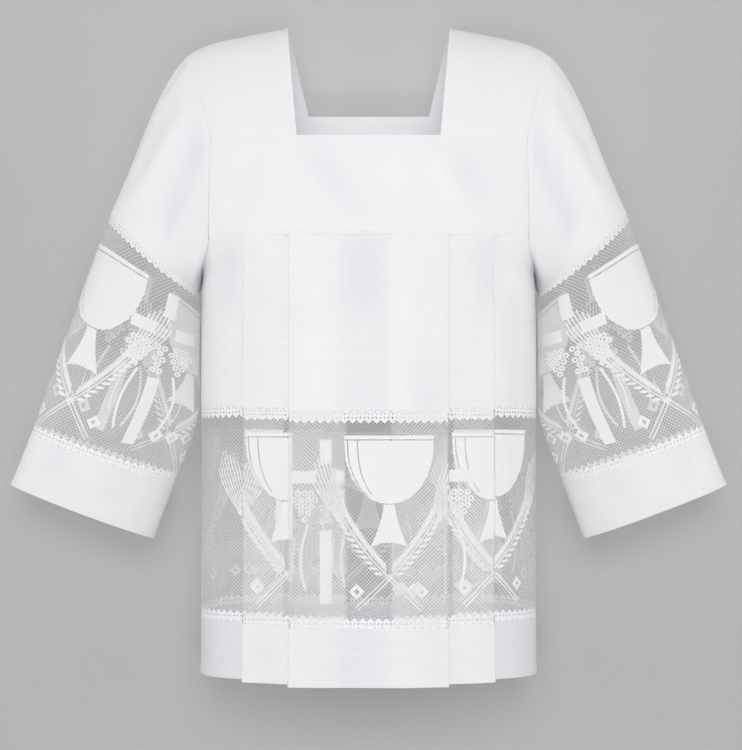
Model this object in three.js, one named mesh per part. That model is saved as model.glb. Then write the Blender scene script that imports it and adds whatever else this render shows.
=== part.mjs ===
// A worn altar surplice. Two yokes and two shoulder pieces frame a square neck. A pleated skirt
// hangs from each yoke, and a bell sleeve from each armhole. Skirts and sleeves end in a band of
// figured lace and a plain turned hem. Every cut piece is a thin closed wall of its own.
// +X is to the right of someone who looks at the front, the front faces -Y and +Z is up.
// The origin is where the shoulders carry it: on the centre line, level with the neck's highest edge.
import * as THREE from 'three';

// Driving dimensions, in millimetres.
const WALL = 1.0;
const SEAM_GAP = 0.3;

// Heights of the seams and edges, measured from the origin.
const FRONT_NECK = -152;
const BACK_NECK = -100;
const YOKE_SEAM = -277;
const ARMPIT = -320;
const SIDE_START = -345;
const LACE_TOP = -494;
const LACE_BOTTOM = -765;
const HEM = -836;

// Half widths of the square neck, of the armhole's edge, and the shoulder's fall.
const NECK = { front: 89.6, top: 104.5, back: 81.2 };
const ARMHOLE = { atYokeSeam: 202, atChest: 200, atTop: 232, topPower: 1.1 };
const SHOULDER_SLOPE = 0.196;
const SHOULDER_DROOP = { start: 190, end: 232, depth: 8 };

// Horizontal sections of the body are superellipses. Above the armpit the half width is that of
// the whole section, and the armhole cuts it short.
const SECTION_POWER = 2.8;
const SECTIONS = [
  { height: 0, halfWidth: 250, front: 114, back: 118 },
  { height: -152, halfWidth: 242, front: 114, back: 118 },
  { height: -277, halfWidth: 232, front: 114, back: 118 },
  { height: -290, halfWidth: 228, front: 114.5, back: 118.5 },
  { height: -305, halfWidth: 220, front: 115, back: 119 },
  { height: -320, halfWidth: 213.5, front: 115.5, back: 119.5 },
  { height: -345, halfWidth: 215, front: 116, back: 120 },
  { height: -400, halfWidth: 216, front: 117.5, back: 121.5 },
  { height: -494, halfWidth: 216, front: 120, back: 124 },
  { height: -765, halfWidth: 216, front: 123.5, back: 127 },
  { height: -836, halfWidth: 216, front: 124.5, back: 128 },
];

// Knife pleats of one half of the skirt. Each folds back at its crest, runs towards the centre
// as far as its root, and comes forward again one layer lower.
const PLEATS = [
  { crest: 98, root: 28 },
  { crest: 156, root: 104 },
];
const LAYER_SPACING = { atYokeSeam: 1.3, below: 2.2 };
const PLEAT_LIFT = { perPleat: 3.5, fullAt: -450 };
const CROSS_STATIONS = [0, 28, 51, 75, 98, 104, 121, 138, 156];
const YOKE_RISE = { centre: 5.2, flatTo: 60, goneAt: 190, height: 45 };
const SIDE_COLUMNS = 8;
const CORNER_COLUMN = 3;

// Sleeve rings from the lace's upper seam to the cuff's edge, as seen from the front: the outer
// and inner points of each ring, half its depth along Y, and how far its middle bows upwards.
const SLEEVE_RINGS = [
  { outerX: 333.8, outerZ: -239, innerX: 219.5, innerZ: -341, halfDepth: 74, bow: 10 },
  { outerX: 369.6, outerZ: -334.7, innerX: 219.5, innerZ: -423, halfDepth: 60, bow: 6 },
  { outerX: 404.4, outerZ: -430.3, innerX: 222.5, innerZ: -504.5, halfDepth: 45, bow: 3 },
  { outerX: 438.5, outerZ: -526, innerX: 253, innerZ: -590, halfDepth: 43, bow: 0 },
  { outerX: 464.5, outerZ: -591.5, innerX: 279.5, innerZ: -661, halfDepth: 39, bow: 0 },
];
const LACE_RING = 0;
const HEM_RING = 3;
const CUFF_RING = 4;
const SLEEVE_BULGE = { depth: 10.2, early: 0.545, power: 1.5 };
const SLEEVE_START = { atTop: 1.4, atArmpit: 1.8 };
const SLEEVE_TRIM = 0.4;
const BODY_CLEARANCE = 2.2;
const RING_POINTS = 32;

// Soft upright troughs in the upper sleeve: the place round the ring in degrees from the outer
// edge, the width in degrees and the depth.
const SLEEVE_TROUGHS = [
  { place: -62, width: 13, depth: 3.0 },
  { place: -104, width: 11, depth: 2.2 },
  { place: 75, width: 14, depth: 2.8 },
];

const CLOTH = { color: 0xefeff1, roughness: 0.85, metalness: 0 };
const LACE = { color: 0xd6d6da, roughness: 0.9, metalness: 0 };

const clamp01 = (value) => Math.min(1, Math.max(0, value));
const ease = (value) => clamp01(value) ** 2 * (3 - 2 * clamp01(value));
const mix = THREE.MathUtils.lerp;

// The value of a column of a table at a place between its rows, on a smooth curve.
function smoothColumn(table, column, place) {
  const last = table.length - 1;
  const row = Math.min(last - 1, Math.max(0, Math.floor(place)));
  const value = (index) => table[Math.min(last, Math.max(0, index))][column];
  const [before, start, end, after] = [row - 1, row, row + 1, row + 2].map(value);
  const t = clamp01(place - row);
  const rise = (end - before) / 2;
  const fall = (after - start) / 2;
  const cubic = 2 * start - 2 * end + rise + fall;
  const square = -3 * start + 3 * end - 2 * rise - fall;
  return ((cubic * t + square) * t + rise) * t + start;
}

function sectionAt(height) {
  let row = SECTIONS.findIndex((section) => section.height <= height);
  row = row < 0 ? SECTIONS.length - 1 : Math.max(1, row);
  const [above, below] = [SECTIONS[row - 1], SECTIONS[row]];
  const t = clamp01((above.height - height) / (above.height - below.height));
  return {
    halfWidth: mix(above.halfWidth, below.halfWidth, t),
    front: mix(above.front, below.front, t),
    back: mix(above.back, below.back, t),
  };
}

// Height of the shoulder's crest at a distance from the centre line.
function ridge(x) {
  const droop = Math.max(0, (x - SHOULDER_DROOP.start) / (SHOULDER_DROOP.end - SHOULDER_DROOP.start));
  return -SHOULDER_SLOPE * Math.max(0, x - NECK.top) - SHOULDER_DROOP.depth * droop ** 2;
}

const ARMHOLE_TOP = ridge(ARMHOLE.atTop);

function armholeHalf(height) {
  if (height <= FRONT_NECK) {
    return mix(ARMHOLE.atChest, ARMHOLE.atYokeSeam, (FRONT_NECK - height) / (FRONT_NECK - YOKE_SEAM));
  }
  const climb = clamp01((height - FRONT_NECK) / (ARMHOLE_TOP - FRONT_NECK)) ** ARMHOLE.topPower;
  return mix(ARMHOLE.atChest, ARMHOLE.atTop, climb);
}

// The body's depth at a distance from the centre line. Above the yoke seam it arches over to the
// shoulder's crest.
function bodyDepth(face, x, height) {
  const section = sectionAt(height);
  const across = Math.max(0, 1 - (Math.abs(x) / section.halfWidth) ** SECTION_POWER);
  const climb = clamp01((height - YOKE_SEAM) / (ridge(Math.abs(x)) - YOKE_SEAM));
  return section[face] * across ** (1 / SECTION_POWER) * Math.sqrt(1 - climb ** 2);
}

const faceSign = (face) => (face === 'front' ? -1 : 1);

function yokePoint(face, x, height) {
  const centre = 1 - ease((Math.abs(x) - YOKE_RISE.flatTo) / (YOKE_RISE.goneAt - YOKE_RISE.flatTo));
  const low = 1 - ease((height - YOKE_SEAM) / YOKE_RISE.height);
  const depth = bodyDepth(face, x, height) + YOKE_RISE.centre * centre * low;
  return new THREE.Vector3(x, faceSign(face) * depth, height);
}

// A point of the body given by its angle round the section: 0 at the centre, a right angle at
// the side seam.
function bodyAtAngle(face, angle, height) {
  const section = sectionAt(height);
  const power = 2 / SECTION_POWER;
  const x = section.halfWidth * Math.sin(angle) ** power;
  const depth = section[face] * Math.max(0, Math.cos(angle)) ** power;
  return new THREE.Vector3(x, faceSign(face) * depth, height);
}

const angleOfX = (x, height) =>
  Math.asin(clamp01(x / sectionAt(height).halfWidth) ** (SECTION_POWER / 2));

const angleOfDepth = (face, depth, height) =>
  Math.acos(clamp01(depth / sectionAt(height)[face]) ** (SECTION_POWER / 2));

// The armhole's edge at an angle round it: 0 at the top, half a turn at the armpit. Positive
// angles lie on the back.
function armholePoint(angle) {
  const face = Math.sin(angle) > 0 ? 'back' : 'front';
  const height = mix(ARMPIT, ARMHOLE_TOP, (1 + Math.cos(angle)) / 2);
  if (height > YOKE_SEAM) {
    const x = armholeHalf(height);
    return new THREE.Vector3(x, faceSign(face) * bodyDepth(face, x, height), height);
  }
  return underarmPoint(face, (YOKE_SEAM - height) / (YOKE_SEAM - ARMPIT));
}

// The armhole's edge below the yoke seam, from 0 at the seam to 1 at the armpit.
function underarmPoint(face, drop) {
  const height = mix(YOKE_SEAM, ARMPIT, drop);
  const depth = bodyDepth(face, ARMHOLE.atYokeSeam, YOKE_SEAM) * Math.sqrt(1 - drop ** 2);
  return bodyAtAngle(face, angleOfDepth(face, Math.max(depth, SEAM_GAP / 2), height), height);
}

// A closed wall about a grid of points on its middle surface. Rows run down the cloth, and
// columns run round the garment so that (down x along) faces outwards.
function wall(rows, closed = false) {
  const rowCount = rows.length;
  const columnCount = rows[0].length;
  const positions = [];
  const indices = [];
  const sheet = rowCount * columnCount;

  const onSheet = (c) => Math.min(columnCount - 1, Math.max(0, c));
  const column = (c) => (closed ? (c + columnCount) % columnCount : onSheet(c));
  const at = (r, c) => rows[Math.min(rowCount - 1, Math.max(0, r))][column(c)];

  // Half the wall's thickness along the normal, longer on a fold so that the wall stays even.
  const thicknessAt = (r, c) => {
    const into = at(r, c).clone().sub(at(r, c - 1)).normalize();
    const away = at(r, c + 1).clone().sub(at(r, c)).normalize();
    const along = into.clone().add(away).normalize();
    const down = at(r + 1, c).clone().sub(at(r - 1, c)).normalize();
    const normal = down.cross(along).normalize();
    const straight = Math.max(into.dot(along), away.dot(along));
    return normal.multiplyScalar(WALL / 2 / Math.max(straight, Math.SQRT1_2));
  };

  for (const side of [1, -1]) {
    for (let r = 0; r < rowCount; r += 1) {
      for (let c = 0; c < columnCount; c += 1) {
        positions.push(...at(r, c).clone().addScaledVector(thicknessAt(r, c), side).toArray());
      }
    }
  }

  const outer = (r, c) => r * columnCount + column(c);
  const inner = (r, c) => sheet + outer(r, c);
  const quad = (a, b, c, d) => indices.push(a, b, c, a, c, d);
  const spans = closed ? columnCount : columnCount - 1;
  for (let c = 0; c < spans; c += 1) {
    for (let r = 0; r < rowCount - 1; r += 1) {
      quad(outer(r, c), outer(r + 1, c), outer(r + 1, c + 1), outer(r, c + 1));
      quad(inner(r, c), inner(r, c + 1), inner(r + 1, c + 1), inner(r + 1, c));
    }
    quad(outer(0, c), outer(0, c + 1), inner(0, c + 1), inner(0, c));
    const end = rowCount - 1;
    quad(outer(end, c), inner(end, c), inner(end, c + 1), outer(end, c + 1));
  }
  if (!closed) {
    const edge = columnCount - 1;
    for (let r = 0; r < rowCount - 1; r += 1) {
      quad(outer(r, 0), inner(r, 0), inner(r + 1, 0), outer(r + 1, 0));
      quad(outer(r, edge), outer(r + 1, edge), inner(r + 1, edge), inner(r, edge));
    }
  }

  const geometry = new THREE.BufferGeometry();
  geometry.setAttribute('position', new THREE.Float32BufferAttribute(positions, 3));
  geometry.setIndex(indices);
  geometry.computeVertexNormals();
  return geometry;
}

const mirrored = (rows) =>
  rows.map((row) => row.map((point) => new THREE.Vector3(-point.x, point.y, point.z)).reverse());

// Joins a half row that runs out from the centre line with its mirror image, in the order that
// runs round the body.
function wholeRow(face, half) {
  const other = half.slice(1).map((point) => new THREE.Vector3(-point.x, point.y, point.z)).reverse();
  const row = [...other, ...half];
  return face === 'front' ? row : row.reverse();
}

// Evenly spaced values from start to end, both included.
const steps = (start, end, count) =>
  Array.from({ length: count + 1 }, (_, index) => mix(start, end, index / count));

function yokeRows(face, top) {
  const heights = steps(top - SEAM_GAP / 2, YOKE_SEAM + SEAM_GAP / 2, 7);
  return heights.map((height) =>
    wholeRow(face, steps(0, armholeHalf(height), 10).map((x) => yokePoint(face, x, height))));
}

// A point of a shoulder piece: 'rise' goes from its seam to the crest, 'out' from the neck to
// the armhole. The piece narrows as it climbs, so its place is found by repeated correction.
function shoulderPoint(face, seam, rise, out) {
  let x = mix(NECK[face], ARMHOLE.atChest, out);
  let height = seam;
  for (let turn = 0; turn < 6; turn += 1) {
    const start = Math.asin((seam - YOKE_SEAM) / (ridge(x) - YOKE_SEAM));
    height = YOKE_SEAM + (ridge(x) - YOKE_SEAM) * Math.sin(mix(start, Math.PI / 2, rise));
    const neck = mix(NECK[face], NECK.top, clamp01(1 - height / seam));
    x = mix(neck, armholeHalf(height), out);
  }
  return new THREE.Vector3(x, faceSign(face) * bodyDepth(face, x, height), height);
}

// The right shoulder piece, in rows from the front seam over the crest to the back seam.
function shoulderRows() {
  const front = steps(0, 1, 6);
  const back = steps(1, 0, 6).slice(1);
  const row = (face, seam, rise) =>
    steps(0, 1, 7).map((out) => shoulderPoint(face, seam, rise, out));
  return [
    ...front.map((rise) => row('front', FRONT_NECK + SEAM_GAP / 2, rise)),
    ...back.map((rise) => row('back', BACK_NECK + SEAM_GAP / 2, rise)),
  ].reverse();
}

// The skirt's path from the centre line out to the last pleat. 'layer' counts the cloth's layers
// above the side panel, and 'turn' shifts a fold's ends back by half the layer spacing.
function pleatedPath() {
  const path = [];
  const run = (from, to, layer) => {
    const [low, high] = [Math.min(from, to), Math.max(from, to)];
    const between = CROSS_STATIONS.filter((x) => x > low && x < high);
    const ordered = from < to ? between : between.reverse();
    path.push(...ordered.map((x) => ({ x, layer, turn: 0 })));
  };
  let layer = 2 * PLEATS.length;
  let start = 0;
  path.push({ x: 0, layer, turn: 0 });
  for (const { crest, root } of PLEATS) {
    run(start, crest, layer);
    for (const [x, turn] of [[crest, -1], [root, 1]]) {
      path.push({ x, layer, turn });
      path.push({ x, layer: layer - 0.5, turn: 0 });
      path.push({ x, layer: layer - 1, turn });
      layer -= 1;
      if (x === crest) {
        run(crest, root, layer);
      }
    }
    start = root;
  }
  run(start, PLEATS.at(-1).crest, layer);
  path.push({ x: PLEATS.at(-1).crest, layer, turn: 0 });
  return path;
}

const PATH = pleatedPath();

function pleatedPoint(face, station, height) {
  const settle = clamp01((YOKE_SEAM - height) / (YOKE_SEAM - SIDE_START));
  const spacing = mix(LAYER_SPACING.atYokeSeam, LAYER_SPACING.below, settle);
  const x = station.x + (station.turn * spacing) / 2;
  const angle = angleOfX(x, height);
  const point = bodyAtAngle(face, angle, height);
  const ahead = bodyAtAngle(face, angle + 0.01, height);
  const normal = new THREE.Vector3(Math.abs(ahead.y - point.y), faceSign(face) * (ahead.x - point.x), 0);
  point.addScaledVector(normal.normalize(), station.layer * spacing);
  return point.setZ(height + pleatLift(station.layer, height));
}

// How far a panel hangs above the centre panel's level, because its pleats take it in.
function pleatLift(layer, height) {
  const share = (2 * PLEATS.length - layer) / 2;
  return PLEAT_LIFT.perPleat * share * clamp01((YOKE_SEAM - height) / (YOKE_SEAM - PLEAT_LIFT.fullAt));
}

// The unpleated side of the skirt. Its upper edge follows the yoke seam to the armhole's corner
// and then the armhole down to the armpit. 'fall' goes from that edge to the given height.
function sidePoint(face, index, height, fall) {
  const lastCrest = PLEATS.at(-1).crest;
  const place = index / SIDE_COLUMNS;
  const from = angleOfX(lastCrest, height);
  const end = angleOfDepth(face, SEAM_GAP / 2, height);
  const level = end - (end - from) * (1 - place) ** (SECTION_POWER / 2);
  const edge = { angle: 0, height: YOKE_SEAM - SEAM_GAP / 2 };
  if (index <= CORNER_COLUMN) {
    const across = mix(lastCrest, ARMHOLE.atYokeSeam, index / CORNER_COLUMN);
    edge.angle = angleOfX(across, YOKE_SEAM);
  } else {
    const quarter = (Math.PI / 2) * ((index - CORNER_COLUMN) / (SIDE_COLUMNS - CORNER_COLUMN));
    const corner = underarmPoint(face, Math.sin(quarter));
    edge.angle = angleOfDepth(face, Math.abs(corner.y), corner.z);
    edge.height = corner.z - SEAM_GAP / 2;
  }
  const z = mix(edge.height, height, fall);
  const point = bodyAtAngle(face, mix(edge.angle, level, fall), z);
  return point.setZ(z + pleatLift(0, z) * (1 - 0.5 * place));
}

function skirtRow(face, height, fall = 1) {
  const z = mix(YOKE_SEAM - SEAM_GAP / 2, height, fall);
  const half = PATH.map((station) => pleatedPoint(face, station, z));
  for (let index = 1; index <= SIDE_COLUMNS; index += 1) {
    half.push(sidePoint(face, index, height, fall));
  }
  return wholeRow(face, half);
}

const skirtRows = (face) => [
  ...[0, 0.5, 1].map((fall) => skirtRow(face, SIDE_START, fall)),
  skirtRow(face, mix(SIDE_START, LACE_TOP, 0.4)),
  skirtRow(face, LACE_TOP + SEAM_GAP / 2),
];

const bandRows = (face, top, bottom, count) =>
  steps(top, bottom, count).map((height) => skirtRow(face, height));

// Where the body's side surface lies, so that a sleeve stays clear of it.
function bodySide(y, height) {
  const face = y < 0 ? 'front' : 'back';
  const section = sectionAt(Math.min(height, ARMPIT));
  const inside = 1 - (Math.abs(y) / section[face]) ** SECTION_POWER;
  return section.halfWidth * Math.max(0, inside) ** (1 / SECTION_POWER);
}

// A point of the lace band or cuff: 'place' counts the rows of SLEEVE_RINGS.
function sleevePoint(angle, place) {
  const ring = (columnName) => smoothColumn(SLEEVE_RINGS, columnName, place);
  const out = (1 + Math.cos(angle)) / 2;
  const side = Math.sin(angle);
  const x = mix(ring('innerX'), ring('outerX'), out);
  const z = mix(ring('innerZ'), ring('outerZ'), out) + ring('bow') * side ** 2;
  const y = ring('halfDepth') * side;
  return new THREE.Vector3(Math.max(x, bodySide(y, z) + BODY_CLEARANCE), y, z);
}

function troughDepth(angle, fall) {
  const degrees = THREE.MathUtils.radToDeg(Math.atan2(Math.sin(angle), Math.cos(angle)));
  return SLEEVE_TROUGHS.reduce((sum, trough) => {
    const off = (degrees - trough.place) / trough.width;
    return sum + trough.depth * Math.exp(-(off ** 2)) * Math.sin(Math.PI * fall) ** 2;
  }, 0);
}

// A point of the upper sleeve: 'fall' goes from the armhole to the lace.
function upperSleevePoint(angle, fall) {
  const away = mix(SLEEVE_START.atArmpit, SLEEVE_START.atTop, (1 + Math.cos(angle)) / 2);
  const start = armholePoint(angle).add(new THREE.Vector3(away, 0, 0));
  const point = start.lerp(sleevePoint(angle, LACE_RING), fall);
  const swell = Math.max(0, Math.sin(Math.PI * fall ** SLEEVE_BULGE.early)) ** SLEEVE_BULGE.power;
  const bulge = SLEEVE_BULGE.depth * swell * Math.max(0, Math.cos(angle));
  const inwards = troughDepth(angle, fall);
  const outwards = new THREE.Vector3(Math.cos(angle), Math.sin(angle), 0.4 * Math.cos(angle)).normalize();
  point.addScaledVector(outwards, bulge - inwards);
  const clearance = mix(SLEEVE_START.atArmpit, BODY_CLEARANCE, clamp01(3 * fall));
  if (point.z < ARMPIT) {
    point.x = Math.max(point.x, bodySide(point.y, point.z) + clearance);
  }
  return point;
}

const ringAngles = steps(0, 2 * Math.PI, RING_POINTS).slice(0, -1);

// Moves the first or last row of a sleeve piece back from its seam.
function trimmed(rows, first, second, distance) {
  rows[first].forEach((point, index) => {
    const back = rows[second][index].clone().sub(point).normalize();
    point.addScaledVector(back, distance);
  });
  return rows;
}

function upperSleeveRows() {
  const rows = [0, 0.08, 0.22, 0.42, 0.68, 1].map((fall) =>
    ringAngles.map((angle) => upperSleevePoint(angle, fall)));
  return trimmed(rows, rows.length - 1, rows.length - 2, SLEEVE_TRIM);
}

function sleeveBandRows(from, to, count) {
  const rows = steps(from, to, count).map((place) =>
    ringAngles.map((angle) => sleevePoint(angle, place)));
  trimmed(rows, 0, 1, SLEEVE_TRIM);
  return to === CUFF_RING ? rows : trimmed(rows, count, count - 1, SLEEVE_TRIM);
}

const group = new THREE.Group();

function addPiece(name, rows, look, closed = false) {
  const mesh = new THREE.Mesh(wall(rows, closed), new THREE.MeshStandardMaterial(look));
  mesh.name = name;
  group.add(mesh);
}

function addPair(name, rows, look, closed = false) {
  addPiece(`${name}_right`, rows, look, closed);
  addPiece(`${name}_left`, mirrored(rows), look, closed);
}

addPiece('yoke_front', yokeRows('front', FRONT_NECK), CLOTH);
addPiece('yoke_back', yokeRows('back', BACK_NECK), CLOTH);
addPair('shoulder', shoulderRows(), CLOTH);
for (const face of ['front', 'back']) {
  addPiece(`skirt_${face}`, skirtRows(face), CLOTH);
  addPiece(`lace_${face}`, bandRows(face, LACE_TOP - SEAM_GAP / 2, LACE_BOTTOM + SEAM_GAP / 2, 3), LACE);
  addPiece(`hem_${face}`, bandRows(face, LACE_BOTTOM - SEAM_GAP / 2, HEM, 2), CLOTH);
}
addPair('sleeve', upperSleeveRows(), CLOTH, true);
addPair('sleeve_lace', sleeveBandRows(LACE_RING, HEM_RING, 5), LACE, true);
addPair('cuff', sleeveBandRows(HEM_RING, CUFF_RING, 2), CLOTH, true);

export default group;
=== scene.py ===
# %% [markdown]
# # A worn altar surplice
# A surplice is a loose white over-garment for choir and altar. This one has a square neck,
# a yoke front and back, a skirt set into each yoke in knife pleats, and wide sleeves. Skirt and
# sleeves end in a band of figured lace and a plain hem.
#
# The CAD model already holds every cut piece as a thin wall in its worn place. Here each piece is
# laid out again as flat cloth, with a UV map in metres on the cut, and then set to that place.
# So weave, ribs, stitches and lace all follow the cloth, as they do on a sewn garment.

# %% Load the frame
import math

import bpy
import numpy as np
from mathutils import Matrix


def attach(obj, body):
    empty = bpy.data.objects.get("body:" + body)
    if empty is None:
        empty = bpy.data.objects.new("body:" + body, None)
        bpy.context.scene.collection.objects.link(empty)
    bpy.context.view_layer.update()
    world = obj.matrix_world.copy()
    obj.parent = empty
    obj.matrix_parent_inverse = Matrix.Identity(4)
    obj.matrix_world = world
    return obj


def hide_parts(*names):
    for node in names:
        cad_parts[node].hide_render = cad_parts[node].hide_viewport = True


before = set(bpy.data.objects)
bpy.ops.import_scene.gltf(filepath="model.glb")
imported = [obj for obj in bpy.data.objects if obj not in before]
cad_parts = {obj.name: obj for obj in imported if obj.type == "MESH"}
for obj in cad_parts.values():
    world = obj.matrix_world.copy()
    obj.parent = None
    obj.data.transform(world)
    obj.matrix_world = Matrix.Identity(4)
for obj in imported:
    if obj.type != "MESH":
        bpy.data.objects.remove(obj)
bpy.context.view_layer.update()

# %% [markdown]
# ## The body's shape
# A torso under cloth is close to a stack of rounded rectangles. A superellipse gives such a
# section from two sizes and one power. Depths and widths are listed at a few heights, and the
# heights between them are blended. All sizes are in metres, and the height is 0 at the shoulder.

# %% Driving sizes
FRONT_NECK, BACK_NECK = -0.152, -0.100
YOKE_SEAM, ARMPIT, SIDE_START = -0.277, -0.320, -0.345
LACE_TOP, LACE_BOTTOM, HEM = -0.494, -0.765, -0.836
NECK = {"front": 0.0896, "top": 0.1045, "back": 0.0812}
ARMHOLE = {"seam": 0.202, "chest": 0.200, "top": 0.232, "power": 1.1}
SHOULDER_SLOPE = 0.196
DROOP = {"start": 0.190, "end": 0.232, "depth": 0.008}
POWER = 2.8
SECTIONS = {
    "height": [-0.836, -0.765, -0.494, -0.400, -0.345, -0.320, -0.305, -0.290, -0.277, -0.152, 0],
    "half": [0.216, 0.216, 0.216, 0.216, 0.215, 0.2135, 0.220, 0.228, 0.232, 0.242, 0.250],
    "front": [0.1245, 0.1235, 0.120, 0.1175, 0.116, 0.1155, 0.115, 0.1145, 0.114, 0.114, 0.114],
    "back": [0.128, 0.127, 0.124, 0.1215, 0.120, 0.1195, 0.119, 0.1185, 0.118, 0.118, 0.118],
}
FACE_SIGN = {"front": -1, "back": 1}
NECK_EDGE = {"front": FRONT_NECK, "back": BACK_NECK}
SIDES = {"right": 1, "left": -1}
print("from shoulder to hem", -HEM, "m")


def mix(a, b, t):
    return a + (b - a) * t


def ease(t):
    t = np.clip(t, 0, 1)
    return t * t * (3 - 2 * t)


def unit(vectors):
    """The same directions with a length of 1."""
    return vectors / np.maximum(1e-12, np.linalg.norm(vectors, axis=-1, keepdims=True))


def section(column, height):
    return np.interp(height, SECTIONS["height"], SECTIONS[column])


# %% Points of the body
def ridge(x):
    """Height of the shoulder's crest at a distance from the centre line."""
    droop = np.maximum(0, (x - DROOP["start"]) / (DROOP["end"] - DROOP["start"]))
    return -SHOULDER_SLOPE * np.maximum(0, x - NECK["top"]) - DROOP["depth"] * droop**2


ARMHOLE_TOP = float(ridge(ARMHOLE["top"]))


def armhole_half(height):
    """Distance of the armhole's edge from the centre line, above the yoke seam."""
    low = mix(ARMHOLE["chest"], ARMHOLE["seam"], (FRONT_NECK - height) / (FRONT_NECK - YOKE_SEAM))
    climb = np.clip((height - FRONT_NECK) / (ARMHOLE_TOP - FRONT_NECK), 0, 1)
    high = mix(ARMHOLE["chest"], ARMHOLE["top"], climb ** ARMHOLE["power"])
    return np.where(height <= FRONT_NECK, low, high)


def body_depth(face, x, height):
    """How far the cloth stands from the middle plane. It arches over to the shoulder's crest."""
    across = np.maximum(0, 1 - (np.abs(x) / section("half", height)) ** POWER)
    climb = np.clip((height - YOKE_SEAM) / (ridge(np.abs(x)) - YOKE_SEAM), 0, 1)
    return section(face, height) * across ** (1 / POWER) * np.sqrt(1 - climb**2)


def body_at_angle(face, angle, height):
    """Half width, depth and outward direction at an angle round a level section."""
    half, deep = section("half", height), section(face, height)
    share_x = np.sin(angle) ** (2 / POWER)
    share_y = np.maximum(0, np.cos(angle)) ** (2 / POWER)
    out_x = share_x ** (POWER - 1) / half
    out_y = share_y ** (POWER - 1) / deep
    size = np.hypot(out_x, out_y)
    return half * share_x, deep * share_y, out_x / size, out_y / size


def angle_of_x(x, height):
    return np.arcsin(np.clip(x / section("half", height), 0, 1) ** (POWER / 2))


def angle_of_depth(face, depth, height):
    return np.arccos(np.clip(depth / section(face, height), 0, 1) ** (POWER / 2))


def underarm(face, drop):
    """Angle and height of the armhole's edge, from the yoke seam (0) to the armpit (1)."""
    height = mix(YOKE_SEAM, ARMPIT, drop)
    corner = body_depth(face, ARMHOLE["seam"], YOKE_SEAM)
    return angle_of_depth(face, corner * np.sqrt(np.maximum(0, 1 - drop**2)), height), height


print("armhole top at", round(ARMHOLE_TOP, 4))
print("chest depth", round(float(body_depth("front", 0, FRONT_NECK)), 4))

# %% [markdown]
# ## Creases
# Worn cloth never hangs quite flat. Each row of these tables is one soft trough:
# where it lies, how much it leans, where it fades out, and its width and depth. A negative depth
# is a ridge. The troughs of all the layers of a pleat move together, because they depend on
# the place across the body and not on the place in the cut.

# %% Crease tables
CREASES = {
    "front": [
        # x, lean, top, bottom, width, depth
        (-0.008, 0.02, -0.262, -0.400, 0.024, 0.0046),
        (0.041, -0.05, -0.300, -0.560, 0.016, -0.0016),
        (0.148, 0.08, -0.262, -0.400, 0.018, 0.0044),
        (-0.178, -0.06, -0.262, -0.400, 0.016, 0.0040),
        (-0.066, 0.03, -0.300, -0.620, 0.018, -0.0018),
        (0.078, 0.02, -0.420, -0.836, 0.024, 0.0024),
        (-0.128, -0.02, -0.480, -0.836, 0.016, 0.0020),
        (0.188, 0.04, -0.330, -0.800, 0.014, 0.0030),
        (-0.020, 0.00, -0.600, -0.836, 0.034, 0.0026),
        (0.128, 0.22, -0.150, -0.258, 0.020, 0.0036),
        (0.095, 0.45, -0.160, -0.270, 0.016, -0.0020),
        (-0.150, -0.35, -0.165, -0.270, 0.020, 0.0022),
        (-0.042, 0.62, -0.146, -0.276, 0.021, 0.0036),
        (0.030, 0.30, -0.155, -0.240, 0.022, -0.0022),
    ],
    "back": [
        (0.022, -0.03, -0.262, -0.520, 0.032, 0.0040),
        (-0.058, 0.04, -0.300, -0.600, 0.018, -0.0018),
        (-0.150, -0.08, -0.270, -0.440, 0.017, 0.0034),
        (0.176, 0.05, -0.290, -0.600, 0.015, 0.0030),
        (0.085, -0.02, -0.420, -0.836, 0.022, 0.0022),
        (-0.100, 0.03, -0.520, -0.836, 0.026, 0.0026),
        (0.120, -0.40, -0.120, -0.270, 0.016, 0.0022),
        (-0.095, 0.45, -0.115, -0.250, 0.017, 0.0020),
        (0.010, 0.10, -0.110, -0.240, 0.030, 0.0018),
    ],
}


def crease_depth(face, x, height):
    """How far the cloth sinks at a place, all its troughs and ridges together."""
    total = np.zeros(np.broadcast(x, height).shape)
    for place, lean, top, bottom, width, depth in CREASES[face]:
        middle = place + lean * ((top + bottom) / 2 - height)
        inside = ease((top - height) / 0.05) * ease((height - bottom) / 0.06 + (bottom <= HEM))
        total += depth * inside * np.exp(-(((x - middle) / width) ** 2))
    return total


print(sum(len(rows) for rows in CREASES.values()), "creases on the body")

# %% [markdown]
# ## The pleats
# Each knife pleat is one S of cloth: forward to its crest, back under itself to its root, and
# forward again one layer lower. The path is written once as a table over the distance along
# the cut, and every piece that hangs in the pleats (skirt, lace and hem) is read from it.

# %% Path of the pleated cloth
PLEATS = [(0.098, 0.028), (0.156, 0.104)]  # crest and root of each pleat of one half
LAYER_SPACING = {"seam": 0.0012, "below": 0.0017}
LIFT = {"pleat": 0.0035, "full": -0.450}
CORNER_SHARE = 0.375  # of the side panel's top edge, the rest follows the armhole
LAST_CREST = PLEATS[-1][0]
REFERENCE = -0.630  # the height at which the cut is measured


def side_angle(share, from_angle):
    """The angle at a share of the side panel, from the last crest (0) to the side seam (1)."""
    return math.pi / 2 - (math.pi / 2 - from_angle) * (1 - share) ** (POWER / 2)


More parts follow.
